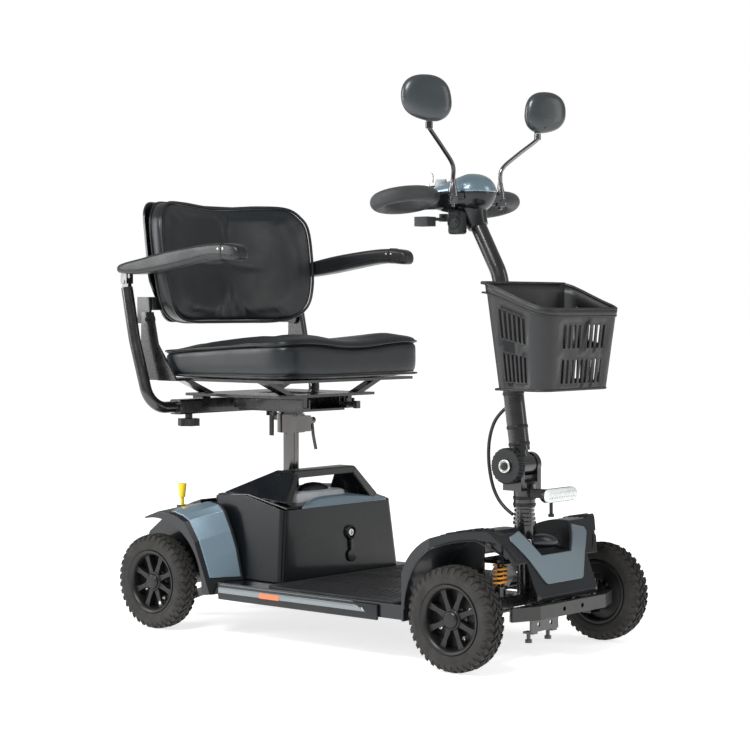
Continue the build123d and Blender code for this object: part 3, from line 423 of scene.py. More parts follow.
def outline_radius(theta, half_x, half_y, power):
    """Distance from the middle to a superellipse's edge at angle theta."""
    return (abs(cos(theta) / half_x) ** power + abs(sin(theta) / half_y) ** power) ** (-1 / power)


def joint_place(name):
    """Where a joint's axis passes, in metres."""
    joints = frame["record"]["behaviour"]["joints"]
    return next(Vector(j["pos_m"]) for j in joints if j["name"] == name)


def surface(node):
    """A tree of a CAD node's faces, for finding points on its skin."""
    mesh = frame["nodes"][node].data
    return BVHTree.FromPolygons([v.co for v in mesh.vertices],
                                [tuple(p.vertices) for p in mesh.polygons])


def on_skin(tree, start, direction, lift=0.0):
    """The first point of the skin that a ray from start meets, raised by lift."""
    place, *_ = tree.ray_cast(Vector(start), Vector(direction))
    if place is None:
        return None
    return place - Vector(direction).normalized() * lift


def add_rings(bm, rings, cap=True):
    """Join rings of points, all with the same count, into a closed skin."""
    loops = [[bm.verts.new(p) for p in ring] for ring in rings]
    add_skin(bm, loops)
    if cap:
        bm.faces.new(loops[0][::-1])
        bm.faces.new(loops[-1])


def inflate(obj, pressure, cap, frames=18):
    """Swell a closed mesh with a short cloth simulation, moving no point further than cap."""
    modifier = obj.modifiers.new("cloth", "CLOTH")
    modifier.settings.use_pressure = True
    modifier.settings.uniform_pressure_force = pressure
    modifier.settings.effector_weights.gravity = 0
    modifier.settings.quality = 5
    modifier.settings.tension_stiffness = 25
    modifier.settings.compression_stiffness = 25
    modifier.settings.bending_stiffness = 1.5
    modifier.collision_settings.use_collision = False
    modifier.point_cache.frame_end = frames
    scene = bpy.context.scene
    for number in range(1, frames + 1):
        scene.frame_set(number)
    result = obj.evaluated_get(bpy.context.evaluated_depsgraph_get()).data
    for rest, swollen in zip(obj.data.vertices, [v.co.copy() for v in result.vertices]):
        step = swollen - rest.co
        if step.length > cap:
            step *= cap / step.length
        rest.co += step
    obj.modifiers.remove(modifier)
    scene.frame_set(1)


# ---------------------------------------------------------------- wheels

TREAD_DEPTH = 0.0034
TREAD_COUNT = 38
RIM_EDGE = 0.066
SPOKE_COUNT = 8


def middle(node):
    low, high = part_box(node)
    return (low + high) / 2


def tyre_carcass(radius, half):
    """Half of the tyre's section, from the crown down to the bead, as (along, radius)."""
    crown = radius - TREAD_DEPTH
    side = [(0.000, crown), (0.38 * half, crown - 0.0004), (0.70 * half, crown - 0.0022),
            (0.88 * half, crown - 0.0058), (0.965 * half, crown - 0.0115),
            (0.985 * half, crown - 0.0165), (0.94 * half, crown - 0.0185),
            (0.955 * half, crown - 0.0215), (0.90 * half, crown - 0.0265),
            (0.86 * half, crown - 0.0285), (0.80 * half, RIM_EDGE + 0.0005),
            (0.72 * half, RIM_EDGE - 0.0015)]
    return [(-a, r) for a, r in reversed(side[1:])] + side


def add_tread_block(bm, centre, hand, turn, along, width, arc, skew, low, high, outer_drop):
    """One moulded tread block; its outer edge sits lower by outer_drop."""
    corners = []
    for radius, shrink in ((low, 1.0), (high, 0.86)):
        for a, t in ((-1, -1), (1, -1), (1, 1), (-1, 1)):
            x = along + a * width / 2 * shrink
            angle = turn + t * arc / 2 * shrink + skew * a
            drop = outer_drop if a * along > 0 else 0
            r = radius - drop
            corners.append(centre + Vector((hand * x, r * sin(angle), r * cos(angle))))
    add_block(bm, corners, 1)


def make_tyre(name, hand, body):
    low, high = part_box(name)
    centre = (low + high) / 2
    radius = (high.z - low.z) / 2
    half = 0.0250
    bm = bmesh.new()
    add_lathe(bm, tyre_carcass(radius, half), centre, AXIS_X, 96, closed=True)
    pitch = 2 * pi / TREAD_COUNT
    for along, shift, skew in ((-0.205 * half, 0, 0.05), (0.205 * half, 0.5, -0.05)):
        for k in range(TREAD_COUNT):
            add_tread_block(bm, centre, hand, (k + shift) * pitch, along, 0.36 * half,
                            pitch * 0.66, skew, radius - 0.006, radius, 0)
    for side in (-1, 1):
        for k in range(TREAD_COUNT):
            turn = (k + (0.25 if side > 0 else 0.75)) * pitch
            add_tread_block(bm, centre, hand, turn, side * 0.64 * half, 0.40 * half,
                            pitch * 0.58, side * 0.03, radius - 0.009, radius - 0.0006, 0.0021)
            add_tread_block(bm, centre, hand, turn, side * 0.905 * half, 0.15 * half,
                            pitch * 0.44, 0, radius - 0.016, radius - 0.0052, 0.0042)
    piece(f"{name}_tread", bm, body, TYRE, [name], crease=38)


def make_rim(name, hand, body, driven):
    centre = middle(name.replace("rim", "tyre"))
    out = AXIS_X * hand
    bm = bmesh.new()
    band = [(-0.022, 0.0655), (-0.018, 0.0630), (0.018, 0.0630), (0.0205, 0.0655),
            (0.0222, 0.0660), (0.0228, 0.0645), (0.0215, 0.0610), (0.0175, 0.0575),
            (0.0110, 0.0560), (-0.018, 0.0560), (-0.022, 0.0600)]
    add_lathe(bm, band, centre, out, 72, closed=True)
    add_lathe(bm, [(-0.006, 0.057), (-0.004, 0.057), (-0.003, 0.024), (-0.006, 0.024)], centre,
              out, 48, closed=True)
    hub = [(-0.020, 0.0205), (0.0125, 0.0205), (0.0150, 0.0190), (0.0150, 0.0168),
           (0.0185, 0.0160), (0.0212, 0.0128), (0.0218, 0.0060), (0.0218, 0.0001)]
    add_lathe(bm, hub, centre, out, 40)
    for k in range(SPOKE_COUNT):
        a = (k + 0.5) * 2 * pi / SPOKE_COUNT
        radial = AXIS_Y * cos(a) + AXIS_Z * sin(a)
        across = radial.cross(out)
        outline = [(0.018, -0.0062), (0.018, 0.0062), (0.040, 0.0046), (0.058, 0.0074),
                   (0.058, -0.0074), (0.040, -0.0046)]
        add_prism(bm, outline, centre - out * 0.004, radial, across, out * 0.016)
    rim = piece(f"{name}_wheel", bm, body, RIM, [name], crease=30)
    bevelled(rim, 0.0007, 2)
    bm = bmesh.new()
    for k in range(4):
        a = radians(65) + k * pi / 2
        spot = centre + (AXIS_Y * cos(a) + AXIS_Z * sin(a)) * 0.040 + out * 0.0005
        add_lathe(bm, [(-0.004, 0.0062), (0.0012, 0.0062), (0.0016, 0.0052)], spot, out, 24)
        add_bolt(bm, spot + out * 0.001, out, 0.0044, 0.0042)
    piece(f"{name}_bolts", bm, body, ZINC, crease=25)
    if driven:
        valve = centre + (AXIS_Y * -0.6 + AXIS_Z * -0.8) * 0.052
        bm = bmesh.new()
        add_tube(bm, [valve, valve + out * 0.020], 0.0028, 12)
        add_tube(bm, [valve + out * 0.018, valve + out * 0.0245], 0.0036, 12)
        piece(f"{name}_valve", bm, body, ZINC, crease=30)


for end in ("front", "rear"):
    for hand, hand_name in SIDES:
        wheel = f"{end}_wheel_{hand_name}"
        make_tyre(f"{end}_tyre_{hand_name}", hand, wheel)
        make_rim(f"{end}_rim_{hand_name}", hand, wheel, end == "rear")


# ---------------------------------------------------------------- seat

def add_piping(name, points, radius, body):
    bm = bmesh.new()
    add_tube(bm, points, radius, 8, closed=True)
    piece(name, bm, body, PIPING)


def fill_pad(pad, pressure, cap):
    inflate(pad, pressure, cap)
    subdivided(pad, 1)


SEAT_LOW, SEAT_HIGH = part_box("seat_cushion")
SEAT_MIDDLE = (SEAT_LOW + SEAT_HIGH) / 2
SEAT_HALF_X = (SEAT_HIGH.x - SEAT_LOW.x) / 2
SEAT_HALF_Y = (SEAT_HIGH.y - SEAT_LOW.y) / 2
SEAT_CORNER = 11.0


def seat_depth_share(y):
    """0 at the seat's front edge, 1 at its rear edge."""
    return (y - SEAT_LOW.y) / (2 * SEAT_HALF_Y)


def seam_height(x, y):
    """The seam between the base and the top pad: a slow wave, higher at the front."""
    share = seat_depth_share(y)
    thigh = cos(min(1, abs(x) / SEAT_HALF_X) * 1.35 * pi)
    front = max(0, 1 - share * 1.3)
    return SEAT_LOW.z + 0.068 - 0.018 * share ** 1.5 - 0.0045 * thigh * front


def seat_top_height(x, y):
    """The sitting surface: raised under the thighs, hollow in the middle, low at the rear."""
    share = seat_depth_share(y)
    thigh = cos(min(1, abs(x) / SEAT_HALF_X) * 1.3 * pi)
    hollow = 0.010 * max(0, sin(pi * min(1, share * 1.1))) * max(0, cos(x / SEAT_HALF_X * pi / 2))
    return (SEAT_LOW.z + 0.089 - 0.030 * share ** 1.3 - 0.0055 * thigh * (1 - share)
            - hollow)


def seat_rim(k, count, shrink=0.0):
    theta = 2 * pi * k / count
    r = outline_radius(theta, SEAT_HALF_X - shrink, SEAT_HALF_Y - shrink, SEAT_CORNER)
    return SEAT_MIDDLE.x + r * cos(theta), SEAT_MIDDLE.y + r * sin(theta)


def seat_layers(count, layers):
    """A closed form from plan rings: each layer is (shrink, height function)."""
    bm = bmesh.new()
    rings = []
    for shrink, height in layers:
        ring = []
        for k in range(count):
            x, y = seat_rim(k, count, shrink)
            ring.append(bm.verts.new((x, y, height(x, y))))
        rings.append(ring)
    add_skin(bm, rings)
    x, y = SEAT_MIDDLE.x, SEAT_MIDDLE.y
    for ring, height in ((rings[0], layers[0][1]), (rings[-1], layers[-1][1])):
        add_fan(bm, ring, (x, y, height(x, y)))
    return bm


def make_seat():
    count = 120
    floor = SEAT_LOW.z + 0.0025
    base_layers = [(shrink, lambda x, y: floor) for shrink in (0.150, 0.100, 0.050, 0.016)]
    base_layers.append((0.0065, lambda x, y: floor + 0.004))
    for share in (0.25, 0.5, 0.75, 0.93):
        base_layers.append((0.004, lambda x, y, s=share: floor + 0.004
                            + (seam_height(x, y) - floor - 0.004) * s))
    base_layers.append((0.011, seam_height))
    base_layers += [(shrink, lambda x, y: seam_height(x, y) + 0.001)
                    for shrink in (0.030, 0.080, 0.150)]
    base = piece("seat_base_pad", seat_layers(count, base_layers), "seat", LEATHER,
                 ["seat_cushion"])
    fill_pad(base, 1.2, 0.0025)

    def lift(share):
        return lambda x, y: (seam_height(x, y) + 0.0015
                             + (seat_top_height(x, y) - seam_height(x, y)) * share)

    top_layers = [(shrink, lift(0)) for shrink in (0.150, 0.080, 0.030, 0.012)]
    top_layers += [(0.0045, lift(0.12)), (0.0025, lift(0.34)), (0.0045, lift(0.58)),
                   (0.0105, lift(0.79)), (0.020, lift(0.92)), (0.034, lift(0.98))]
    top_layers += [(shrink, lift(1)) for shrink in (0.055, 0.080, 0.105, 0.130, 0.155, 0.175)]
    top = piece("seat_top_pad", seat_layers(count, top_layers), "seat", LEATHER)
    fill_pad(top, 2.0, 0.006)

    for label, shrink, height, radius in (
            ("seat_upper_piping", 0.0055, lambda x, y: seam_height(x, y) + 0.0035, 0.0026),
            ("seat_lower_piping", 0.0045, lambda x, y: floor + 0.0035, 0.0022)):
        points = []
        for k in range(160):
            x, y = seat_rim(k, 160, shrink)
            points.append(Vector((x, y, height(x, y))))
        add_piping(label, points, radius, "seat")


make_seat()


# ---------------------------------------------------------------- backrest

BACK_LOW, BACK_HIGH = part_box("backrest_cushion")
BACK_HALF = (BACK_HIGH.x - BACK_LOW.x) / 2
BACK_RAKE = 0.14
BACK_WING = 0.060
BACK_THICKNESS = 0.038


def back_outline(steps=10):
    """Front view of the backrest: broad rounded shoulders, narrower foot, slight dip on top."""
    foot = BACK_LOW.z + 0.002
    top = BACK_HIGH.z - 0.003
    half = BACK_HALF - 0.003
    right = [(0.06, foot), (0.13, foot + 0.001), (0.182, foot + 0.011),
             (half - 0.020, foot + 0.036), (half - 0.005, foot + 0.080), (half, foot + 0.140),
             (half - 0.001, foot + 0.205), (half - 0.013, top - 0.026),
             (half - 0.046, top - 0.003), (0.120, top - 0.0005), (0.050, top - 0.005)]
    left = [(-x, z) for x, z in reversed(right)]
    return smooth_path([Vector((x, 0, z)) for x, z in
                        (*right, (0, top - 0.007), *left, (0, foot))], steps, closed=True)


def back_face(x, z):
    """The y of the backrest's front face before the padding's own crown."""
    curve = BACK_WING * (x / BACK_HALF) ** 2
    return BACK_LOW.y + 0.0345 + BACK_RAKE * (z - BACK_LOW.z) - curve


def make_backrest():
    outline = back_outline()
    middle_z = (BACK_LOW.z + BACK_HIGH.z) / 2
    crown = 0.010

    def crease(x, z):
        """How deep the fold across the middle is."""
        line = middle_z - 0.006
        return 0.0055 * exp(-((z - line) / 0.011) ** 2 - (x / 0.105) ** 4)

    def shrunk(p, share):
        return p.x * share, middle_z + (p.z - middle_z) * share

    # Rings from the middle of the back, round the edge, to the middle of the front
    layers = [(0.30, 1), (0.70, 1), (0.93, 1), (0.975, 0.97), (0.99, 0.75), (0.994, 0.5),
              (0.992, 0.25), (0.985, 0.06), (0.965, -0.10), (0.94, -0.17), (0.90, -0.22)]
    layers += [(s, None) for s in (0.85, 0.78, 0.70, 0.62, 0.54, 0.46, 0.38, 0.30, 0.22, 0.14)]
    bm = bmesh.new()
    rings = []
    for share, depth in layers:
        ring = []
        for p in outline:
            x, z = shrunk(p, share)
            if depth is None:
                forward = crown * (0.75 + 0.25 * (1 - share ** 2)) - crease(x, z)
                y = back_face(x, z) - forward
            else:
                y = back_face(x, z) + BACK_THICKNESS * depth
            ring.append(bm.verts.new((x, y, z)))
        rings.append(ring)
    add_skin(bm, rings)
    for ring, y in ((rings[0], back_face(0, middle_z) + BACK_THICKNESS),
                    (rings[-1], back_face(0, middle_z) - crown + crease(0, middle_z))):
        add_fan(bm, ring, (0, y, middle_z))
    pad = piece("backrest_pad", bm, "backrest", LEATHER, ["backrest_cushion"])
    fill_pad(pad, 1.6, 0.004)
    for label, share, depth, radius in (("backrest_front_piping", 0.985, 0.02, 0.0032),
                                        ("backrest_rear_piping", 0.990, 0.90, 0.0026)):
        points = []
        for p in outline:
            x, z = shrunk(p, share)
            points.append(Vector((x, back_face(x, z) + BACK_THICKNESS * depth, z)))
        add_piping(label, points, radius, "backrest")


make_backrest()


# ---------------------------------------------------------------- armrests

# (distance from the pad's rear end, top above the pivot, bottom above the pivot, inset)
ARM_STATIONS = [(0.0010, 0.0300, 0.0220, 0.010), (0.0040, 0.0350, 0.0190, 0.003),
                (0.0140, 0.0385, 0.0180, 0), (0.0480, 0.0450, 0.0150, 0),
                (0.0700, 0.0475, 0.0150, 0), (0.1380, 0.0610, 0.0225, 0),
                (0.2060, 0.0690, 0.0330, 0), (0.2760, 0.0760, 0.0440, 0),
                (0.3160, 0.0760, 0.0440, 0), (0.3270, 0.0755, 0.0425, 0),
                (0.3460, 0.0735, 0.0405, 0.0005), (0.3560, 0.0695, 0.0405, 0.002),
                (0.3610, 0.0640, 0.0430, 0.005), (0.3630, 0.0590, 0.0470, 0.009)]


def make_armrest(hand_name):
    """Padded rest with a stitched seam, a drooping nose and two screws, on its forked bracket."""
    low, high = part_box(f"armrest_{hand_name}")
    body = f"arm_{hand_name}"
    centre_x = (low.x + high.x) / 2
    half = (high.x - low.x) / 2 - 0.001
    pivot = joint_place(f"arm_{hand_name}_lift")
    stations = [(high.y - back, pivot.z + top, pivot.z + bottom, half - inset)
                for back, top, bottom, inset in ARM_STATIONS]
    rings = []
    for y, top, bottom, width in stations:
        radius = min(0.0085, (top - bottom) / 2 - 0.0005)
        rings.append(rounded_ring(Vector((centre_x, y, (top + bottom) / 2)), AXIS_X, AXIS_Z,
                                  width, (top - bottom) / 2, radius, 4))
    bm = bmesh.new()
    add_rings(bm, rings)
    pad = piece(f"armrest_pad_{hand_name}", bm, body, ARM_LEATHER,
                [f"armrest_{hand_name}"])
    subdivided(pad, 2)
    # Seam welts low on both sides, and one across the pad where its nose begins
    bm = bmesh.new()
    for side in (-1, 1):
        path = [Vector((centre_x + side * (width + 0.0003), y, bottom + 0.0095))
                for y, top, bottom, width in stations[3:-3]]
        add_tube(bm, smooth_path(path, 4), 0.0011, 8)
    y, top, bottom, width = stations[8]
    fold = rounded_ring(Vector((centre_x, y, (top + bottom) / 2)), AXIS_X, AXIS_Z,
                        width + 0.0002, (top - bottom) / 2 + 0.0002, 0.009, 5)
    add_tube(bm, fold, 0.0009, 8, closed=True)
    piece(f"armrest_welt_{hand_name}", bm, body, PIPING)
    # Fork and pin on the tube's tongue
    bm = bmesh.new()
    for near, far in ((-0.0095, -0.0055), (0.0055, 0.0095)):
        add_box(bm, (pivot.x + near, pivot.y - 0.009, pivot.z - 0.004),
                (pivot.x + far, pivot.y + 0.009, pivot.z + 0.021))
    add_tube(bm, [pivot - AXIS_X * 0.011, pivot + AXIS_X * 0.011], 0.004, 16)
    piece(f"armrest_fork_{hand_name}", bm, body, PAINT, crease=30)
    bm = bmesh.new()
    y, top, bottom, width = stations[8]
    for side in (-1, 1):
        for along in (-0.007, 0.007):
            spot = Vector((centre_x + side * (width + 0.0002), y + along, top - 0.012))
            add_lathe(bm, [(-0.001, 0.0024), (0.0006, 0.0024), (0.0010, 0.0016)], spot,
                      AXIS_X * side, 16)
    piece(f"armrest_screws_{hand_name}", bm, body, ZINC, crease=30)


for hand_name in ("right", "left"):
    make_armrest(hand_name)


# ---------------------------------------------------------------- basket

BASKET_LOW, BASKET_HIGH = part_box("basket")
BASKET_WALL = 0.0024
BASKET_CORNER_STEPS = 7
FRONT_COLUMNS = 11
SIDE_COLUMNS = 8


def basket_plan(height):
    """Half width, rear y, front y and corner radius of the basket at a height."""
    share = (height - BASKET_LOW.z) / 0.224
    return (0.1115 + 0.0260 * share, -0.394 + 0.020 * share, -0.508 - 0.0235 * share,
            0.030 + 0.012 * share)


def basket_rim_height(y):
    """The rim falls towards the front in a gentle S."""
    share = min(1, max(0, (-0.358 - y) / 0.175))
    return BASKET_HIGH.z - 0.0006 - 0.0555 * (0.35 * share + 0.65 * share * share * (3 - 2 * share))


def basket_path(height):
    """Points round the basket's plan, starting at the front right corner's end."""
    half, rear, front, corner = basket_plan(height)
    points = []
    front_half = half - corner
    for k in range(FRONT_COLUMNS + 1):
        points.append((-front_half + 2 * front_half * k / FRONT_COLUMNS, front))

    def arc(cx, cy, start):
        for k in range(1, BASKET_CORNER_STEPS):
            a = start + k / BASKET_CORNER_STEPS * pi / 2
            points.append((cx + corner * cos(a), cy + corner * sin(a)))

    arc(front_half, front + corner, -pi / 2)
    side_low, side_high = front + corner, rear - corner * 0.5
    for k in range(SIDE_COLUMNS + 1):
        points.append((half, side_low + (side_high - side_low) * k / SIDE_COLUMNS))
    points.append((half - corner * 0.15, rear - corner * 0.16))
    points.append((half - corner * 0.5, rear))
    points.append((-half + corner * 0.5, rear))
    points.append((-half + corner * 0.15, rear - corner * 0.16))
    for k in range(SIDE_COLUMNS + 1):
        points.append((-half, side_high + (side_low - side_high) * k / SIDE_COLUMNS))
    arc(-front_half, front + corner, pi)
    return points


def basket_surface(column, height_share, offset=0.0):
    """A point on the basket's wall: column may fall between whole columns."""
    whole = int(column)
    height = BASKET_LOW.z + 0.002
    for _ in range(3):
        points = basket_path(height)
        ax, ay = points[whole % len(points)]
        bx, by = points[(whole + 1) % len(points)]
        part = column - whole
        x, y = ax + (bx - ax) * part, ay + (by - ay) * part
        rim = basket_rim_height(y)
        height = BASKET_LOW.z + 0.002 + (rim - BASKET_LOW.z - 0.002) * height_share
    normal = Vector((by - ay, ax - bx, 0)).normalized()
    return Vector((x, y, height)) + normal * offset


def basket_ring(share, offset=0.0):
    """One point of the wall for each column, at a share of its height."""
    return [basket_surface(c, share, offset) for c in range(len(basket_path(BASKET_LOW.z)))]


def thickened(obj, thickness):
    solid = obj.modifiers.new("wall", "SOLIDIFY")
    solid.thickness = thickness
    solid.offset = -1


def add_slotted_cell(bm, corner_of, rounding=4):
    """A wall cell with a round-ended upright slot through it; corner_of maps (0..1, 0..1)."""
    inner, outer = [], []
    for quarter in range(4):
        sy = 1 if quarter in (0, 1) else -1
        for k in range(rounding + 1):
            a = (quarter + k / rounding) * pi / 2
            inner.append((0.5 + 0.27 * cos(a), 0.5 + sy * 0.40 + 0.06 * sin(a)))
            grow = max(abs(cos(a)), abs(sin(a)))
            outer.append((0.5 + 0.5 * cos(a) / grow, 0.5 + 0.5 * sin(a) / grow))
    near = [bm.verts.new(corner_of(u, v)) for u, v in inner]
    far = [bm.verts.new(corner_of(u, v)) for u, v in outer]
    count = len(near)
    for k in range(count):
        n = (k + 1) % count
        if (near[k].co - near[n].co).length < 1e-6:
            bm.faces.new((near[k], far[n], far[k]))
        else:
            bm.faces.new((near[k], near[n], far[n], far[k]))


def make_basket():
    total = len(basket_path(BASKET_LOW.z))
    front_slots = {0: range(1, 10), 1: (1, 2, 3, 4, 6, 7, 8, 9)}
    first_side = FRONT_COLUMNS + BASKET_CORNER_STEPS
    second_side = first_side + SIDE_COLUMNS + 1 + 4
    rows = [0.0, 0.075, 0.39, 0.50, 0.815, 0.905, 1.0]
    slot_rows = {1: 0, 3: 1}

    def is_slotted(column, row):
        if row not in slot_rows:
            return False
        if column in front_slots[slot_rows[row]]:
            return True
        return any(first + 1 <= column < first + 7 for first in (first_side, second_side))

    bm = bmesh.new()
    for column in range(total):
        for row, (v0, v1) in enumerate(zip(rows, rows[1:])):
            def corner_of(u, v, c=column, a=v0, b=v1):
                return basket_surface(c + min(u, 0.99999), a + (b - a) * v)
            if is_slotted(column, row):
                add_slotted_cell(bm, corner_of)
            else:
                corners = [bm.verts.new(corner_of(u, v))
                           for u, v in ((0, 0), (1, 0), (1, 1), (0, 1))]
                bm.faces.new(corners)
    # Floor with a shallow rounded turn-up
    ring = basket_ring(0)
    centre = sum(ring, Vector()) / total
    for k in range(total):
        bm.faces.new([bm.verts.new(p) for p in (ring[(k + 1) % total], ring[k], centre)])
    bmesh.ops.remove_doubles(bm, verts=bm.verts, dist=0.0003)
    shell = piece("basket_shell", bm, "basket_body", BASKET, ["basket"])
    thickened(shell, BASKET_WALL)
    split_by_angle(shell, 40)
    # Rolled rim, the step below it and the foot
    bm = bmesh.new()
    for share, offset, radius, steps in ((0.992, -0.0012, 0.0032, 10),
                                         (0.905, 0.0008, 0.0018, 8), (0.012, -0.001, 0.0026, 8)):
        add_tube(bm, smooth_path(basket_ring(share, offset), 3, closed=True), radius, steps,
                 closed=True)
    piece("basket_rim", bm, "basket_body", BASKET)
    bm = bmesh.new()
    add_rings(bm, [basket_ring(0.905, 0.0018), basket_ring(0.990, 0.0018)], cap=False)
    thickened(piece("basket_collar", bm, "basket_body", BASKET), 0.0016)
    # Hanger plate behind the rear wall
    bm = bmesh.new()
    add_box(bm, (-0.020, -0.392, 0.565), (0.020, -0.3835, 0.690))
    bevelled(piece("basket_hanger", bm, "basket_body", BASKET), 0.002, 3)


make_basket()


# ---------------------------------------------------------------- tiller cable

CABLE_ROUTE = [(0, -0.334, 0.480), (0, -0.312, 0.464), (0, -0.296, 0.430), (0, -0.291, 0.392),
               (0, -0.295, 0.350), (0, -0.307, 0.312), (0, -0.330, 0.284), (0, -0.352, 0.272)]


def make_cable():
    curve = bpy.data.curves.new("tiller_cable_run", "CURVE")
    curve.dimensions = "3D"
    curve.bevel_depth = 0.0035
    curve.bevel_resolution = 5
    curve.use_fill_caps = True
    spline = curve.splines.new("NURBS")
    spline.points.add(len(CABLE_ROUTE) - 1)
    for point, place in zip(spline.points, CABLE_ROUTE):
        point.co = (*place, 1)
    spline.order_u = 3
    spline.use_endpoint_u = True
    spline.resolution_u = 12
    curve.materials.append(CABLE)
    cable = dress(placed("tiller_cable_run", curve), "steering", ["tiller_cable"])


make_cable()


# ---------------------------------------------------------------- tiller head

HEAD_SEAM = 0.905
SEAM_GAP = 0.0005
DOME_Y = -0.250
DECK_END_Y = -0.128


def head_plan(k, count, share):
    """A point of the console's plan: round at the nose, straight-sided behind it."""
    theta = 2 * pi * k / count
    half_x, nose, tail = 0.050, 0.048, DECK_END_Y - DOME_Y
    power = 2.0 if sin(theta) < 0 else 3.2
    half_y = nose if sin(theta) < 0 else tail
    r = outline_radius(theta, half_x, half_y, power) * share
    return r * cos(theta), DOME_Y + r * sin(theta)


def console_rings(rows, height):
    return [[Vector((*head_plan(k, 72, share), height(share, head_plan(k, 72, share)[1])))
             for k in range(72)] for share in rows]


def make_console():
    rows = (1.0, 0.995, 0.975, 0.94, 0.88, 0.80, 0.70, 0.58, 0.45, 0.30, 0.15, 0.05)

    def dome(share, y):
        behind = min(1, max(0, (y - DOME_Y) / (DECK_END_Y - DOME_Y)))
        rise = 0.037 - 0.023 * min(1, behind * 1.5)
        return HEAD_SEAM + SEAM_GAP + rise * (1 - share ** 2.6) ** 0.55

    def bowl(share, _):
        return HEAD_SEAM - SEAM_GAP - 0.041 * (1 - share ** 2.4) ** 0.6

    bm = bmesh.new()
    add_rings(bm, console_rings(rows, dome))
    piece("console_top", bm, "tiller", BLUE, ["tiller_shroud"])
    bm = bmesh.new()
    add_rings(bm, console_rings(rows, bowl))
    low, high = Vector((0, -0.266, 0.836)), Vector((0, -0.247, 0.876))
    neck = [(0, 0.0182), (0.0015, 0.0205), (0.012, 0.0225), (0.026, 0.0275), (0.040, 0.0350),
            (0.0445, 0.0360)]
    add_lathe(bm, neck, low, (high - low).normalized(), 48)
    piece("console_bowl", bm, "tiller", CHARCOAL, ["tiller_head"], crease=40)
    # Cradles that hold the hand loops, and the horn unit beside the neck
    bm = bmesh.new()
    for side in (-1, 1):
        x_low, x_high = sorted((side * 0.040, side * 0.070))
        add_box(bm, (x_low, -0.214, 0.872), (x_high, -0.160, 0.9035))
    add_box(bm, (-0.050, -0.258, 0.822), (-0.024, -0.226, 0.870))
    mounts = piece("console_mounts", bm, "tiller", SATIN)
    bevelled(mounts, 0.006, 4)
    split_by_angle(mounts, 40)
    bm = bmesh.new()
    for radius, depth in ((0.0135, 0.003), (0.0100, 0.005), (0.0052, 0.0062)):
        add_lathe(bm, [(-0.001, radius), (depth - 0.001, radius), (depth, radius - 0.0012)],
                  Vector((-0.050, -0.242, 0.845)), -AXIS_X, 40)
    piece("horn_grille", bm, "tiller", SATIN, crease=30)
    # Instrument panel on the deck
    bm = bmesh.new()
    outline = rounded_outline(0.030, 0.040, 0.010)
    add_prism(bm, outline, Vector((0, -0.172, 0.9185)), AXIS_X, Vector((0, 1, -0.07)),
              Vector((0, 0, 0.0022)))
    piece("instrument_panel", bm, "tiller", SATIN, crease=30)


def make_hand_loops():
    low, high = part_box("hand_loops")
    centre_x, centre_y = 0.133, -0.187
    half_x, half_y = 0.067, 0.043
    tube = 0.015
    tilt = radians(16.0)
    for side, label in SIDES:
        points = []
        for k in range(96):
            a = 2 * pi * k / 96
            along = Vector((half_x * cos(a), half_y * sin(a) * cos(tilt),
                            -half_y * sin(a) * sin(tilt)))
            points.append(Vector((side * centre_x, centre_y, (low.z + high.z) / 2)) + along)
        bm = bmesh.new()
        add_tube(bm, points, tube, 24, closed=True)
        stands = ["hand_loops"] if side < 0 else []
        piece(f"hand_loop_{label}", bm, "tiller", FOAM, stands)


def make_mirror(side, label, facing, width, height):
    """An egg-shaped shell narrowing to its neck, with a rimmed glass on the rear."""
    body = f"mirror_{label}"
    pin = joint_place(f"mirror_{label}_aim")
    normal = Vector(facing).normalized()
    across = AXIS_Z.cross(normal).normalized() * -1
    up = normal.cross(across) * -1
    if up.z < 0:
        up = -up
    centre = Vector((side * 0.194, -0.286, 1.0770))
    toward = Vector((pin.x - centre.x, 0, pin.z - centre.z))
    foot = -1 if toward.dot(across) < 0 else 1

    def rim(a, share):
        """Superellipse, drawn out towards the lower corner where the neck is."""
        r = outline_radius(a, width / 2 * share, height / 2 * share, 2.35)
        px, pz = r * cos(a), r * sin(a)
        corner = max(0, -(sin(a)) * 0.8 + foot * cos(a) * 0.6) ** 3
        pull = 1 + 0.16 * corner
        return px * pull, pz * pull

    def ring(share, depth):
        return [centre + across * x + up * z + normal * depth
                for x, z in (rim(2 * pi * k / 64, share) for k in range(64))]

    rows = [(0.90, 0.0022), (0.955, 0.0008), (0.985, 0.0004), (1.0, 0.0026), (0.995, 0.0070),
            (0.955, 0.0115), (0.87, 0.0155), (0.74, 0.0182), (0.56, 0.0198), (0.34, 0.0206),
            (0.12, 0.0209)]
    bm = bmesh.new()
    add_rings(bm, [ring(share, depth) for share, depth in rows])
    neck_top = Vector((side * 0.185, centre.y - 0.010, 1.050))
    neck = smooth_path([Vector((pin.x, pin.y, pin.z + 0.0008)), Vector((pin.x, pin.y, 1.039)),
                        Vector((side * 0.179, pin.y - 0.004, 1.0445)), neck_top], 5)
    radii = [0.0062 + 0.0045 * k / (len(neck) - 1) for k in range(len(neck))]
    add_tube(bm, neck, radii, 20)
    piece(f"mirror_shell_{label}", bm, body, MIRROR,
          [f"mirror_head_{label}"], crease=55)
    bm = bmesh.new()
    add_rings(bm, [ring(share, depth) for share, depth in ((0.90, 0.0030), (0.90, 0.0016),
                                                           (0.6, 0.0012), (0.25, 0.0010))])
    piece(f"mirror_glass_{label}", bm, body, GLASS)


STEM_X, STEM_Y = 0.077, -0.262


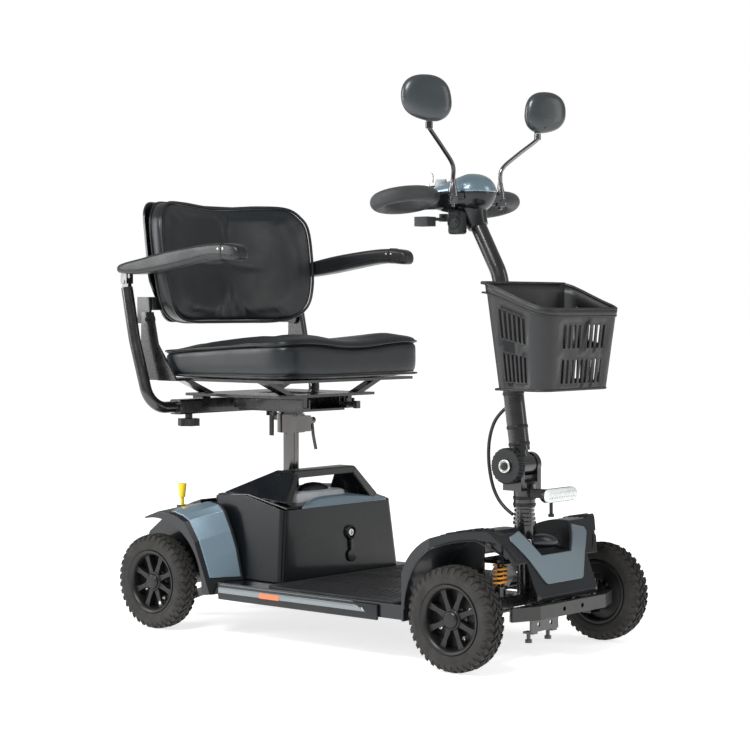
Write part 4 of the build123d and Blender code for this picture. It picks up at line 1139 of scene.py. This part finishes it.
def make_stem_fittings():
    """Chrome nut, cone and clamp bolt at the foot of each mirror stem."""
    bm = bmesh.new()
    for side in (-1, 1):
        foot = Vector((side * STEM_X, STEM_Y, 0.884))
        add_lathe(bm, [(-0.004, 0.0100), (0.010, 0.0100), (0.011, 0.0092)], foot, AXIS_Z, 6)
        add_lathe(bm, [(0.011, 0.0108), (0.014, 0.0108), (0.0145, 0.0098), (0.024, 0.0094),
                       (0.034, 0.0062), (0.044, 0.0048)], foot, AXIS_Z, 32)
        add_lathe(bm, [(-0.010, 0.0045), (-0.004, 0.0045)], foot, AXIS_Z, 24)
        add_bolt(bm, foot + Vector((side * 0.0095, -0.002, 0.004)), AXIS_X * side, 0.0042, 0.004)
    piece("mirror_clamps", bm, "tiller", CHROME, crease=30)


def make_mirror_stem(side, label, material):
    """A slim rod from its clamp block up to the mirror's pin."""
    pin = joint_place(f"mirror_{label}_aim")
    path = [Vector((side * STEM_X, STEM_Y, 0.888)), Vector((side * STEM_X, STEM_Y, 0.925)),
            Vector((side * 0.0800, -0.2640, 0.955)), Vector((side * 0.120, -0.2715, 0.9845)),
            Vector((side * 0.1640, -0.280, 1.0120)), Vector((pin.x, pin.y, 1.0215)),
            Vector((pin.x, pin.y, pin.z - 0.001))]
    bm = bmesh.new()
    add_tube(bm, smooth_path(path, 6), 0.0042, 20)
    add_lathe(bm, [(0, 0.0060), (0.001, 0.0070), (0.0120, 0.0070), (0.0130, 0.0060)],
              Vector((pin.x, pin.y, pin.z - 0.0135)), AXIS_Z, 32)
    low_x, high_x = sorted((side * 0.048, side * 0.078))
    add_box(bm, (low_x, -0.268, 0.888), (high_x, -0.256, 0.902))
    piece(f"mirror_stem_{label}", bm, "tiller", material,
          ["mirror_stems"] if side < 0 else [], crease=40)


make_console()
make_hand_loops()
make_mirror(-1, "right", (-0.45, -0.9, 0.05), 0.101, 0.084)
make_mirror(1, "left", (-0.35, -0.93, 0), 0.094, 0.080)
make_stem_fittings()
make_mirror_stem(-1, "right", PAINT)
make_mirror_stem(1, "left", CHROME)


# ---------------------------------------------------------------- tiller lower end and lamp

COLUMN_Y = -0.380
SLEEVE_RISE = 0.371


def make_column_details():
    fold = joint_place("tiller_fold")
    bm = bmesh.new()
    for k in range(44):
        a = 2 * pi * k / 44
        radial = AXIS_Y * cos(a) + AXIS_Z * sin(a)
        across = radial.cross(AXIS_X)
        start = fold + radial * 0.0325 + Vector((-0.0515, 0, 0))
        add_prism(bm, [(0, -0.0013), (0.0028, -0.0008), (0.0028, 0.0008), (0, 0.0013)], start,
                  radial, across, Vector((0.0155, 0, 0)))
    piece("fold_knob_ribs", bm, "tiller_lock", SATIN, smooth=False)
    bm = bmesh.new()
    face = fold + Vector((-0.0562, 0, 0))
    add_lathe(bm, [(-0.001, 0.0135), (0.0012, 0.0135), (0.0020, 0.0125), (0.0020, 0.0105),
                   (0.0008, 0.0095)], face, -AXIS_X, 40)
    piece("fold_knob_cap", bm, "tiller_lock", ZINC, crease=30)
    bm = bmesh.new()
    add_lathe(bm, [(0.0004, 0.0085), (0.0022, 0.0080), (0.0030, 0.0050)], face, -AXIS_X, 32)
    piece("fold_knob_plug", bm, "tiller_lock", SATIN, crease=30)
    # Clamp bands round the column
    bm = bmesh.new()
    for z in (0.291, 0.304, 0.334):
        add_lathe(bm, [(0, 0.0214), (0.001, 0.0226), (0.0055, 0.0226), (0.0065, 0.0214)],
                  Vector((0, COLUMN_Y, z)), AXIS_Z, 48)
    piece("column_bands", bm, "steering", SATIN, crease=30)
    # Bands of the sleeve on the tiller tube
    bm = bmesh.new()
    along = Vector((0, 0.054, SLEEVE_RISE)).normalized()
    for share in (0.10, 0.19, 0.37):
        add_lathe(bm, [(0, 0.0203), (0.001, 0.0213), (0.006, 0.0213), (0.007, 0.0203)],
                  fold + along * (SLEEVE_RISE * share), along, 48)
    piece("sleeve_bands", bm, "tiller", SATIN, crease=30)


LAMP_HALF_Z = 0.0135
LAMP_CORNER = 0.0125


def make_headlight():
    low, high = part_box("headlight")
    centre = Vector(((low.x + high.x) / 2, low.y, (low.z + 0.331) / 2))
    half = (high.x - low.x) / 2

    def add_shell(bm, levels):
        """Rounded rings, each given as its depth behind the front and its inset."""
        add_rings(bm, [rounded_ring(centre + AXIS_Y * depth, AXIS_X, AXIS_Z, half - inset,
                                    LAMP_HALF_Z - inset, LAMP_CORNER - inset, 8)
                       for depth, inset in levels])

    bm = bmesh.new()
    add_shell(bm, ((0.0, 0.0045), (0.0012, 0.002), (0.0035, 0.0006), (0.0070, 0.0)))
    piece("headlight_lens", bm, "steering", LENS, ["headlight"])
    bm = bmesh.new()
    for row in (-1, 1):
        for k in range(-5, 6):
            spot = centre + Vector((k * 0.0080 + row * 0.002, 0.0002, row * 0.0045))
            add_lathe(bm, [(-0.001, 0.0024), (0.0002, 0.0022), (0.0008, 0.0012)], spot, -AXIS_Y,
                      16)
    piece("headlight_diodes", bm, "steering", ZINC, crease=30)
    bm = bmesh.new()
    add_shell(bm, ((0.0068, 0.0), (0.0140, 0.0004), (0.0190, 0.003), (0.0210, 0.007)))
    add_box(bm, (-0.011, low.y + 0.0195, 0.309), (0.011, -0.4005, 0.325))
    add_tube(bm, [Vector((0.002, -0.442, 0.309)), Vector((0.002, -0.4425, 0.278))], 0.0035, 12)
    add_bolt(bm, Vector((0.002, -0.4425, 0.276)), -AXIS_Z, 0.006, 0.003)
    piece("headlight_bracket", bm, "steering", SATIN, crease=35)


make_column_details()
make_headlight()


# ---------------------------------------------------------------- front cover details

ARCH_CENTRE = (-0.402, 0.100)
ARCH_HALF = (0.112, 0.142)
NOSE_LIP = [(-0.440, 0.2135), (-0.465, 0.1885), (-0.481, 0.1565), (-0.4868, 0.131)]


def cover_edge(tree, side, y, z):
    """The cover's outermost point beside (y, z)."""
    for lift in (0.0015, 0.004, 0.008, 0.014):
        place = on_skin(tree, (side * 0.4, y, z + lift), (-side, 0, 0))
        if place is not None and abs(place.x) > 0.09:
            return Vector((place.x, y, z))
    return None


def make_front_details():
    tree = surface("front_cover")
    bm = bmesh.new()
    for side in (-1, 1):
        path = []
        for k in range(25):
            a = radians(4 + 90 * k / 24)
            path.append(cover_edge(tree, side, ARCH_CENTRE[0] + ARCH_HALF[0] * cos(a),
                                   ARCH_CENTRE[1] + ARCH_HALF[1] * sin(a)))
        path += [cover_edge(tree, side, y, z) for y, z in NOSE_LIP]
        path = [p for p in path if p is not None]
        add_tube(bm, path, 0.0022, 10)
    piece("front_arch_beads", bm, "chassis", CHARCOAL)
    # Louvres: short raised ribs across the top of each wing
    bm = bmesh.new()
    for side in (-1, 1):
        for k in range(9):
            y = -0.318 - 0.0125 * k
            points = [on_skin(tree, (side * (0.150 + 0.016 * j), y, 0.4),
                              (0, 0, -1), 0.0004) for j in range(6)]
            points = [p for p in points if p is not None and p.z > 0.19]
            if len(points) > 2:
                add_tube(bm, points, 0.0026, 8)
    piece("front_louvres", bm, "chassis", SATIN)
    # Two crease lines beside the fascia
    bm = bmesh.new()
    for side in (-1, 1):
        for offset in (0.012, 0.022):
            points = []
            for share in (0, 0.25, 0.5, 0.75, 1):
                x = side * (0.132 + offset - 0.040 * share)
                z = 0.232 - 0.050 * share - offset * 0.4
                place = on_skin(tree, (x, -0.6, z), (0, 1, 0), 0.0002)
                if place is not None and place.y < -0.35:
                    points.append(place)
            if len(points) > 2:
                add_tube(bm, smooth_path(points, 4), 0.0014, 8)
    piece("front_creases", bm, "chassis", CHARCOAL)
    # Steering lock: a dark grip lying in the well, its screw at one end
    bm = bmesh.new()
    grip = smooth_path([Vector((-0.034, -0.420, 0.226)), Vector((-0.010, -0.428, 0.2265)),
                        Vector((0.016, -0.434, 0.2235)), Vector((0.036, -0.432, 0.218))], 5)
    count = len(grip) - 1
    add_tube(bm, grip, [0.0085 + 0.0055 * sin(pi * min(1, 0.15 + k / count)) for k in
                        range(count + 1)], 24)
    piece("steering_lock_grip", bm, "chassis", CHARCOAL, crease=50)
    bm = bmesh.new()
    add_bolt(bm, Vector((-0.036, -0.4195, 0.226)), -AXIS_X, 0.0060, 0.0040, hexagon=False)
    piece("steering_lock_screw", bm, "chassis", ZINC, crease=30)


make_front_details()


# ---------------------------------------------------------------- floor and sills

def make_floor_ribs():
    """Raised ribs in two bands of chevrons on the floor mat."""
    low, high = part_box("floor_mat")
    top = high.z
    bm = bmesh.new()
    for side in (-1, 1):
        for band_x in (0.060, 0.160):
            for k in range(21):
                y = low.y + 0.030 + 0.0142 * k
                start = Vector((side * (band_x - 0.036), y + 0.012, top - 0.0004))
                end = Vector((side * (band_x + 0.036), y - 0.012, top - 0.0004))
                across = (end - start).cross(AXIS_Z).normalized()
                add_prism(bm, [(-0.0026, 0), (0.0026, 0), (0.0016, 0.0018), (-0.0016, 0.0018)],
                          start, across, AXIS_Z, end - start)
    for y in (low.y + 0.014, high.y - 0.014):
        add_prism(bm, [(-0.002, 0), (0.002, 0), (0.001, 0.0016), (-0.001, 0.0016)],
                  Vector((-0.215, y, top - 0.0004)), AXIS_Y, AXIS_Z, Vector((0.430, 0, 0)))
    piece("floor_ribs", bm, "chassis", MAT, smooth=False)


def make_sill(side, label):
    """A rounded two-tone sill: grey above, black along the foot and at the front end."""
    inner, outer = side * 0.2502, side * 0.2575
    profile = [(inner, 0.1115), (inner + side * 0.003, 0.1118), (outer - side * 0.0012, 0.1085),
               (outer, 0.1020), (outer - side * 0.0004, 0.0960), (outer - side * 0.0016, 0.0885),
               (inner, 0.0880)]
    bm = bmesh.new()
    rings = []
    for y, slant, drop in ((0.2060, 0, 0.004), (0.2040, 0, 0), (-0.150, 0.9, 0),
                           (-0.166, 0.9, 0.003), (-0.174, 0.9, 0.009)):
        rings.append([Vector((x, y - (0.112 - z) * slant,
                              max(z, 0.0882) - (drop if z > 0.105 else 0))) for x, z in profile])
    add_rings(bm, rings)
    piece(f"sill_panel_{label}", bm, "chassis", SILL,
          ["side_trims"] if side < 0 else [], crease=25)
    bm = bmesh.new()
    low_x, high_x = sorted((inner, side * 0.2568))
    add_box(bm, (low_x, -0.2195, 0.0802), (high_x, 0.2080, 0.1100))
    bevelled(piece(f"sill_base_{label}", bm, "chassis", SATIN), 0.0025, 3)
    bm = bmesh.new()
    outline = rounded_outline(0.0270, 0.0052, 0.0022)
    add_prism(bm, outline, Vector((outer - side * 0.0006, 0.063, 0.0985)), AXIS_Y, AXIS_Z,
              Vector((side * 0.0009, 0, 0)))
    piece(f"sill_dash_{label}", bm, "chassis", ORANGE_MARK, crease=30)


make_floor_ribs()
make_sill(-1, "right")
make_sill(1, "left")


# ---------------------------------------------------------------- battery

CASE_FRONT_Y = 0.104
CASE_SLOPE_DEPTH = 0.111
CASE_EDGE_Z = 0.2645


def make_battery_handle():
    """The carrying bar on its two sloping legs, over an open recess."""
    low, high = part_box("battery_lid")
    foot, top = low.z + 0.0015, high.z
    outer = [(-0.158, foot), (-0.156, foot + 0.014), (-0.102, top - 0.005), (-0.094, top - 0.0006),
             (0.088, top), (0.096, top - 0.004), (0.120, foot + 0.034), (0.132, foot + 0.010),
             (0.134, foot)]
    inner = [(0.108, foot), (0.092, top - 0.020), (0.086, top - 0.0155), (-0.082, top - 0.0165),
             (-0.088, top - 0.021), (-0.124, foot + 0.012), (-0.126, foot)]
    bm = bmesh.new()
    add_prism(bm, outer + inner, Vector((0, 0.138, 0)), AXIS_X, AXIS_Z, Vector((0, 0.040, 0)))
    # The left leg spreads back over the battery as one flat facet, and the right one a little
    for x_foot, x_top, rear_foot, rear_top in ((-0.158, -0.094, 0.286, 0.192),
                                               (0.134, 0.094, 0.232, 0.186)):
        sign = 1 if x_top > x_foot else -1
        corners = []
        for thick in (0, 1):
            x_f = x_foot + sign * 0.020 * thick
            x_t = x_top + sign * 0.012 * thick
            drop = 0.009 * thick
            corners += [Vector((x_f, 0.110, foot + 0.012 - drop)),
                        Vector((x_f, rear_foot, foot + 0.026 - drop)),
                        Vector((x_t, rear_top, top - 0.001 - drop)),
                        Vector((x_t, 0.140, top - 0.001 - drop))]
        add_block(bm, corners)
    handle = piece("battery_handle", bm, "battery_pack", CHARCOAL,
                   ["battery_lid"])
    bevelled(handle, 0.0022, 3, 20)
    split_by_angle(handle, 40)
    # Lid that closes the case round the seat post's notch
    bm = bmesh.new()

    def lid_ring(inset, lift):
        front, rear = CASE_FRONT_Y + inset, 0.304 - inset
        half = 0.160 - inset

        def height(y):
            rise = 0.0235 * min(1, max(0, (y - CASE_FRONT_Y) / CASE_SLOPE_DEPTH))
            return CASE_EDGE_Z + rise - 0.050 * max(0, y - CASE_FRONT_Y - CASE_SLOPE_DEPTH) + lift

        notch = 0.031 + inset
        plan = [(-half, front), (-0.08, front), (0.0, front), (0.08, front), (half, front),
                (half, 0.160), (half, 0.215), (half, rear), (notch, rear), (notch, 0.230),
                (notch, 0.206 - inset), (-notch, 0.206 - inset), (-notch, 0.230), (-notch, rear),
                (-half, rear), (-half, 0.215), (-half, 0.160)]
        return [Vector((x, y, height(y))) for x, y in plan]

    add_rings(bm, [lid_ring(0, -0.001), lid_ring(0.001, 0.001), lid_ring(0.004, 0.0025)])
    piece("battery_lid_plate", bm, "battery_pack", CHARCOAL, crease=25)
    # Grey tray and hump seen under the bar
    bm = bmesh.new()
    add_rings(bm, [rounded_ring(Vector((-0.030, 0.156, lift)), AXIS_X, AXIS_Y, 0.086 - inset,
                                0.030 - inset, 0.018 - inset * 0.5, 6)
                   for lift, inset in ((0.266, 0.0), (0.284, 0.0), (0.290, 0.003),
                                       (0.2925, 0.010))])
    piece("battery_tray", bm, "battery_pack", LIGHT, crease=40)
    bm = bmesh.new()
    rings = []
    for share in (0.0, 0.15, 0.35, 0.55, 0.75, 0.9, 1.0):
        swell = (1 - (2 * share - 1) ** 2) ** 0.5 + 0.02
        rings.append([Vector((-0.072 + 0.100 * share, 0.160 + 0.020 * swell * cos(a),
                              0.287 + 0.021 * swell * max(-0.2, sin(a))))
                      for a in (2 * pi * k / 32 for k in range(32))])
    add_rings(bm, rings)
    piece("battery_hump", bm, "battery_pack", SATIN)


def make_battery_strip():
    """The glossy lens-shaped strip, sloping up from the case's front top edge."""
    steps = 30
    sheets = []
    for row in (0.0, 0.06, 0.25, 0.5, 0.75, 0.94, 1.0):
        sheet = []
        for k in range(steps + 1):
            t = k / steps
            width = 0.033 * max(0, sin(pi * t ** 0.9)) ** 1.1 + 0.0010
            swell = 0.0022 * (1 - (2 * row - 1) ** 4)
            sheet.append(Vector((-0.116 + 0.268 * t, 0.1010 + width * row,
                                 0.2640 + 0.62 * width * row + swell)))
        sheets.append(sheet)
    lowest = [[Vector((p.x, p.y, 0.2620)) for p in sheet] for sheet in (sheets[0], sheets[-1])]
    bm = bmesh.new()
    grid = [[bm.verts.new(p) for p in sheet] for sheet in (lowest[0], *sheets, lowest[1])]
    for lower, upper in zip(grid, [*grid[1:], grid[0]]):
        for k in range(steps):
            bm.faces.new((lower[k], lower[k + 1], upper[k + 1], upper[k]))
    for end in (0, -1):
        bm.faces.new([sheet[end] for sheet in grid])
    piece("battery_strip", bm, "battery_pack", BLUE, crease=50)


def make_charge_port():
    centre = Vector((0.029, 0.0945, 0.202))
    bm = bmesh.new()
    add_lathe(bm, [(-0.002, 0.0108), (0.0022, 0.0108), (0.0030, 0.0118), (0.0030, 0.0140),
                   (0.0016, 0.0152), (-0.002, 0.0152)], centre, -AXIS_Y, 40, closed=True)
    piece("charge_port_ring", bm, "battery_pack", SATIN, crease=30)
    bm = bmesh.new()
    add_lathe(bm, [(-0.003, 0.0080), (0.0005, 0.0080), (0.0012, 0.0070), (0.0012, 0.0048),
                   (-0.001, 0.0040)], centre, -AXIS_Y, 32)
    for x, z in ((-0.0024, 0.0), (0.0024, 0.0), (0, 0.0028)):
        spot = centre + Vector((x, -0.001, z))
        add_tube(bm, [spot, spot - AXIS_Y * 0.0008], 0.0009, 8)
    piece("charge_port_pins", bm, "battery_pack", ZINC, crease=30)


make_battery_handle()
make_battery_strip()
make_charge_port()


# ---------------------------------------------------------------- stage, light and camera

FLOOR_REACH = 40
FLOOR_LEVEL = -0.0005
FLOOR_GLOW = 0.74
WORLD_STRENGTH = 0.36


def make_stage():
    bm = bmesh.new()
    for x, y in ((-1, -1), (1, -1), (1, 1), (-1, 1)):
        bm.verts.new((x * FLOOR_REACH, y * FLOOR_REACH, FLOOR_LEVEL))
    bm.faces.new(bm.verts[:])
    mesh = bpy.data.meshes.new("floor")
    bm.to_mesh(mesh)
    bm.free()
    floor = placed("floor", mesh)
    shader = Shader("studio_floor", (0.90, 0.90, 0.90), 0.9, specular=0.0)
    shader.mottle(0.5, 0.01)
    shader.bsdf.inputs["Emission Color"].default_value = (1, 1, 1, 1)
    shader.bsdf.inputs["Emission Strength"].default_value = FLOOR_GLOW
    mesh.materials.append(shader.material)
    world = bpy.data.worlds.new("studio")
    world.use_nodes = True
    background = world.node_tree.nodes["Background"]
    background.inputs["Color"].default_value = (1, 1, 1, 1)
    background.inputs["Strength"].default_value = WORLD_STRENGTH
    # What the camera sees behind the object is pure white
    backdrop = world.node_tree.nodes.new("ShaderNodeBackground")
    backdrop.inputs["Color"].default_value = (1, 1, 1, 1)
    backdrop.inputs["Strength"].default_value = 1.0
    rays = world.node_tree.nodes.new("ShaderNodeLightPath")
    mix = world.node_tree.nodes.new("ShaderNodeMixShader")
    output = world.node_tree.nodes["World Output"]
    link = world.node_tree.links.new
    link(rays.outputs["Is Camera Ray"], mix.inputs["Fac"])
    link(background.outputs["Background"], mix.inputs[1])
    link(backdrop.outputs["Background"], mix.inputs[2])
    link(mix.outputs["Shader"], output.inputs["Surface"])
    bpy.context.scene.world = world
    bpy.context.scene.view_settings.view_transform = "Standard"


def aimed(name, data, place, aim):
    """A lamp or camera that looks from place towards aim."""
    obj = placed(name, data)
    obj.location = place
    obj.rotation_euler = (Vector(aim) - Vector(place)).to_track_quat("-Z", "Y").to_euler()
    return obj


def area_light(name, place, aim, size, power, colour=(1, 1, 1)):
    data = bpy.data.lights.new(name, "AREA")
    data.shape = "RECTANGLE"
    data.size, data.size_y = size
    data.energy = power
    data.color = colour
    aimed(name, data, place, aim)


CAMERA_LENS = 96.0
CAMERA_PLACE = (-3.1546, -2.6816, 0.6796)
CAMERA_AIM = (-0.00365, 0.0, 0.538)


def make_camera():
    data = bpy.data.cameras.new("camera")
    data.lens = CAMERA_LENS
    data.sensor_width = 36.0
    bpy.context.scene.camera = aimed("camera", data, CAMERA_PLACE, CAMERA_AIM)


make_stage()
area_light("key", (-2.4, -0.6, 3.0), (0, 0, 0.5), (1.3, 1.3), 105)
area_light("rim_right", (-2.2, 2.4, 1.6), (0, 0, 0.5), (0.8, 2.0), 52)
area_light("front_fill", (1.6, -3.0, 1.5), (0, 0, 0.5), (1.0, 2.2), 16, (1.0, 0.98, 0.94))
make_camera()
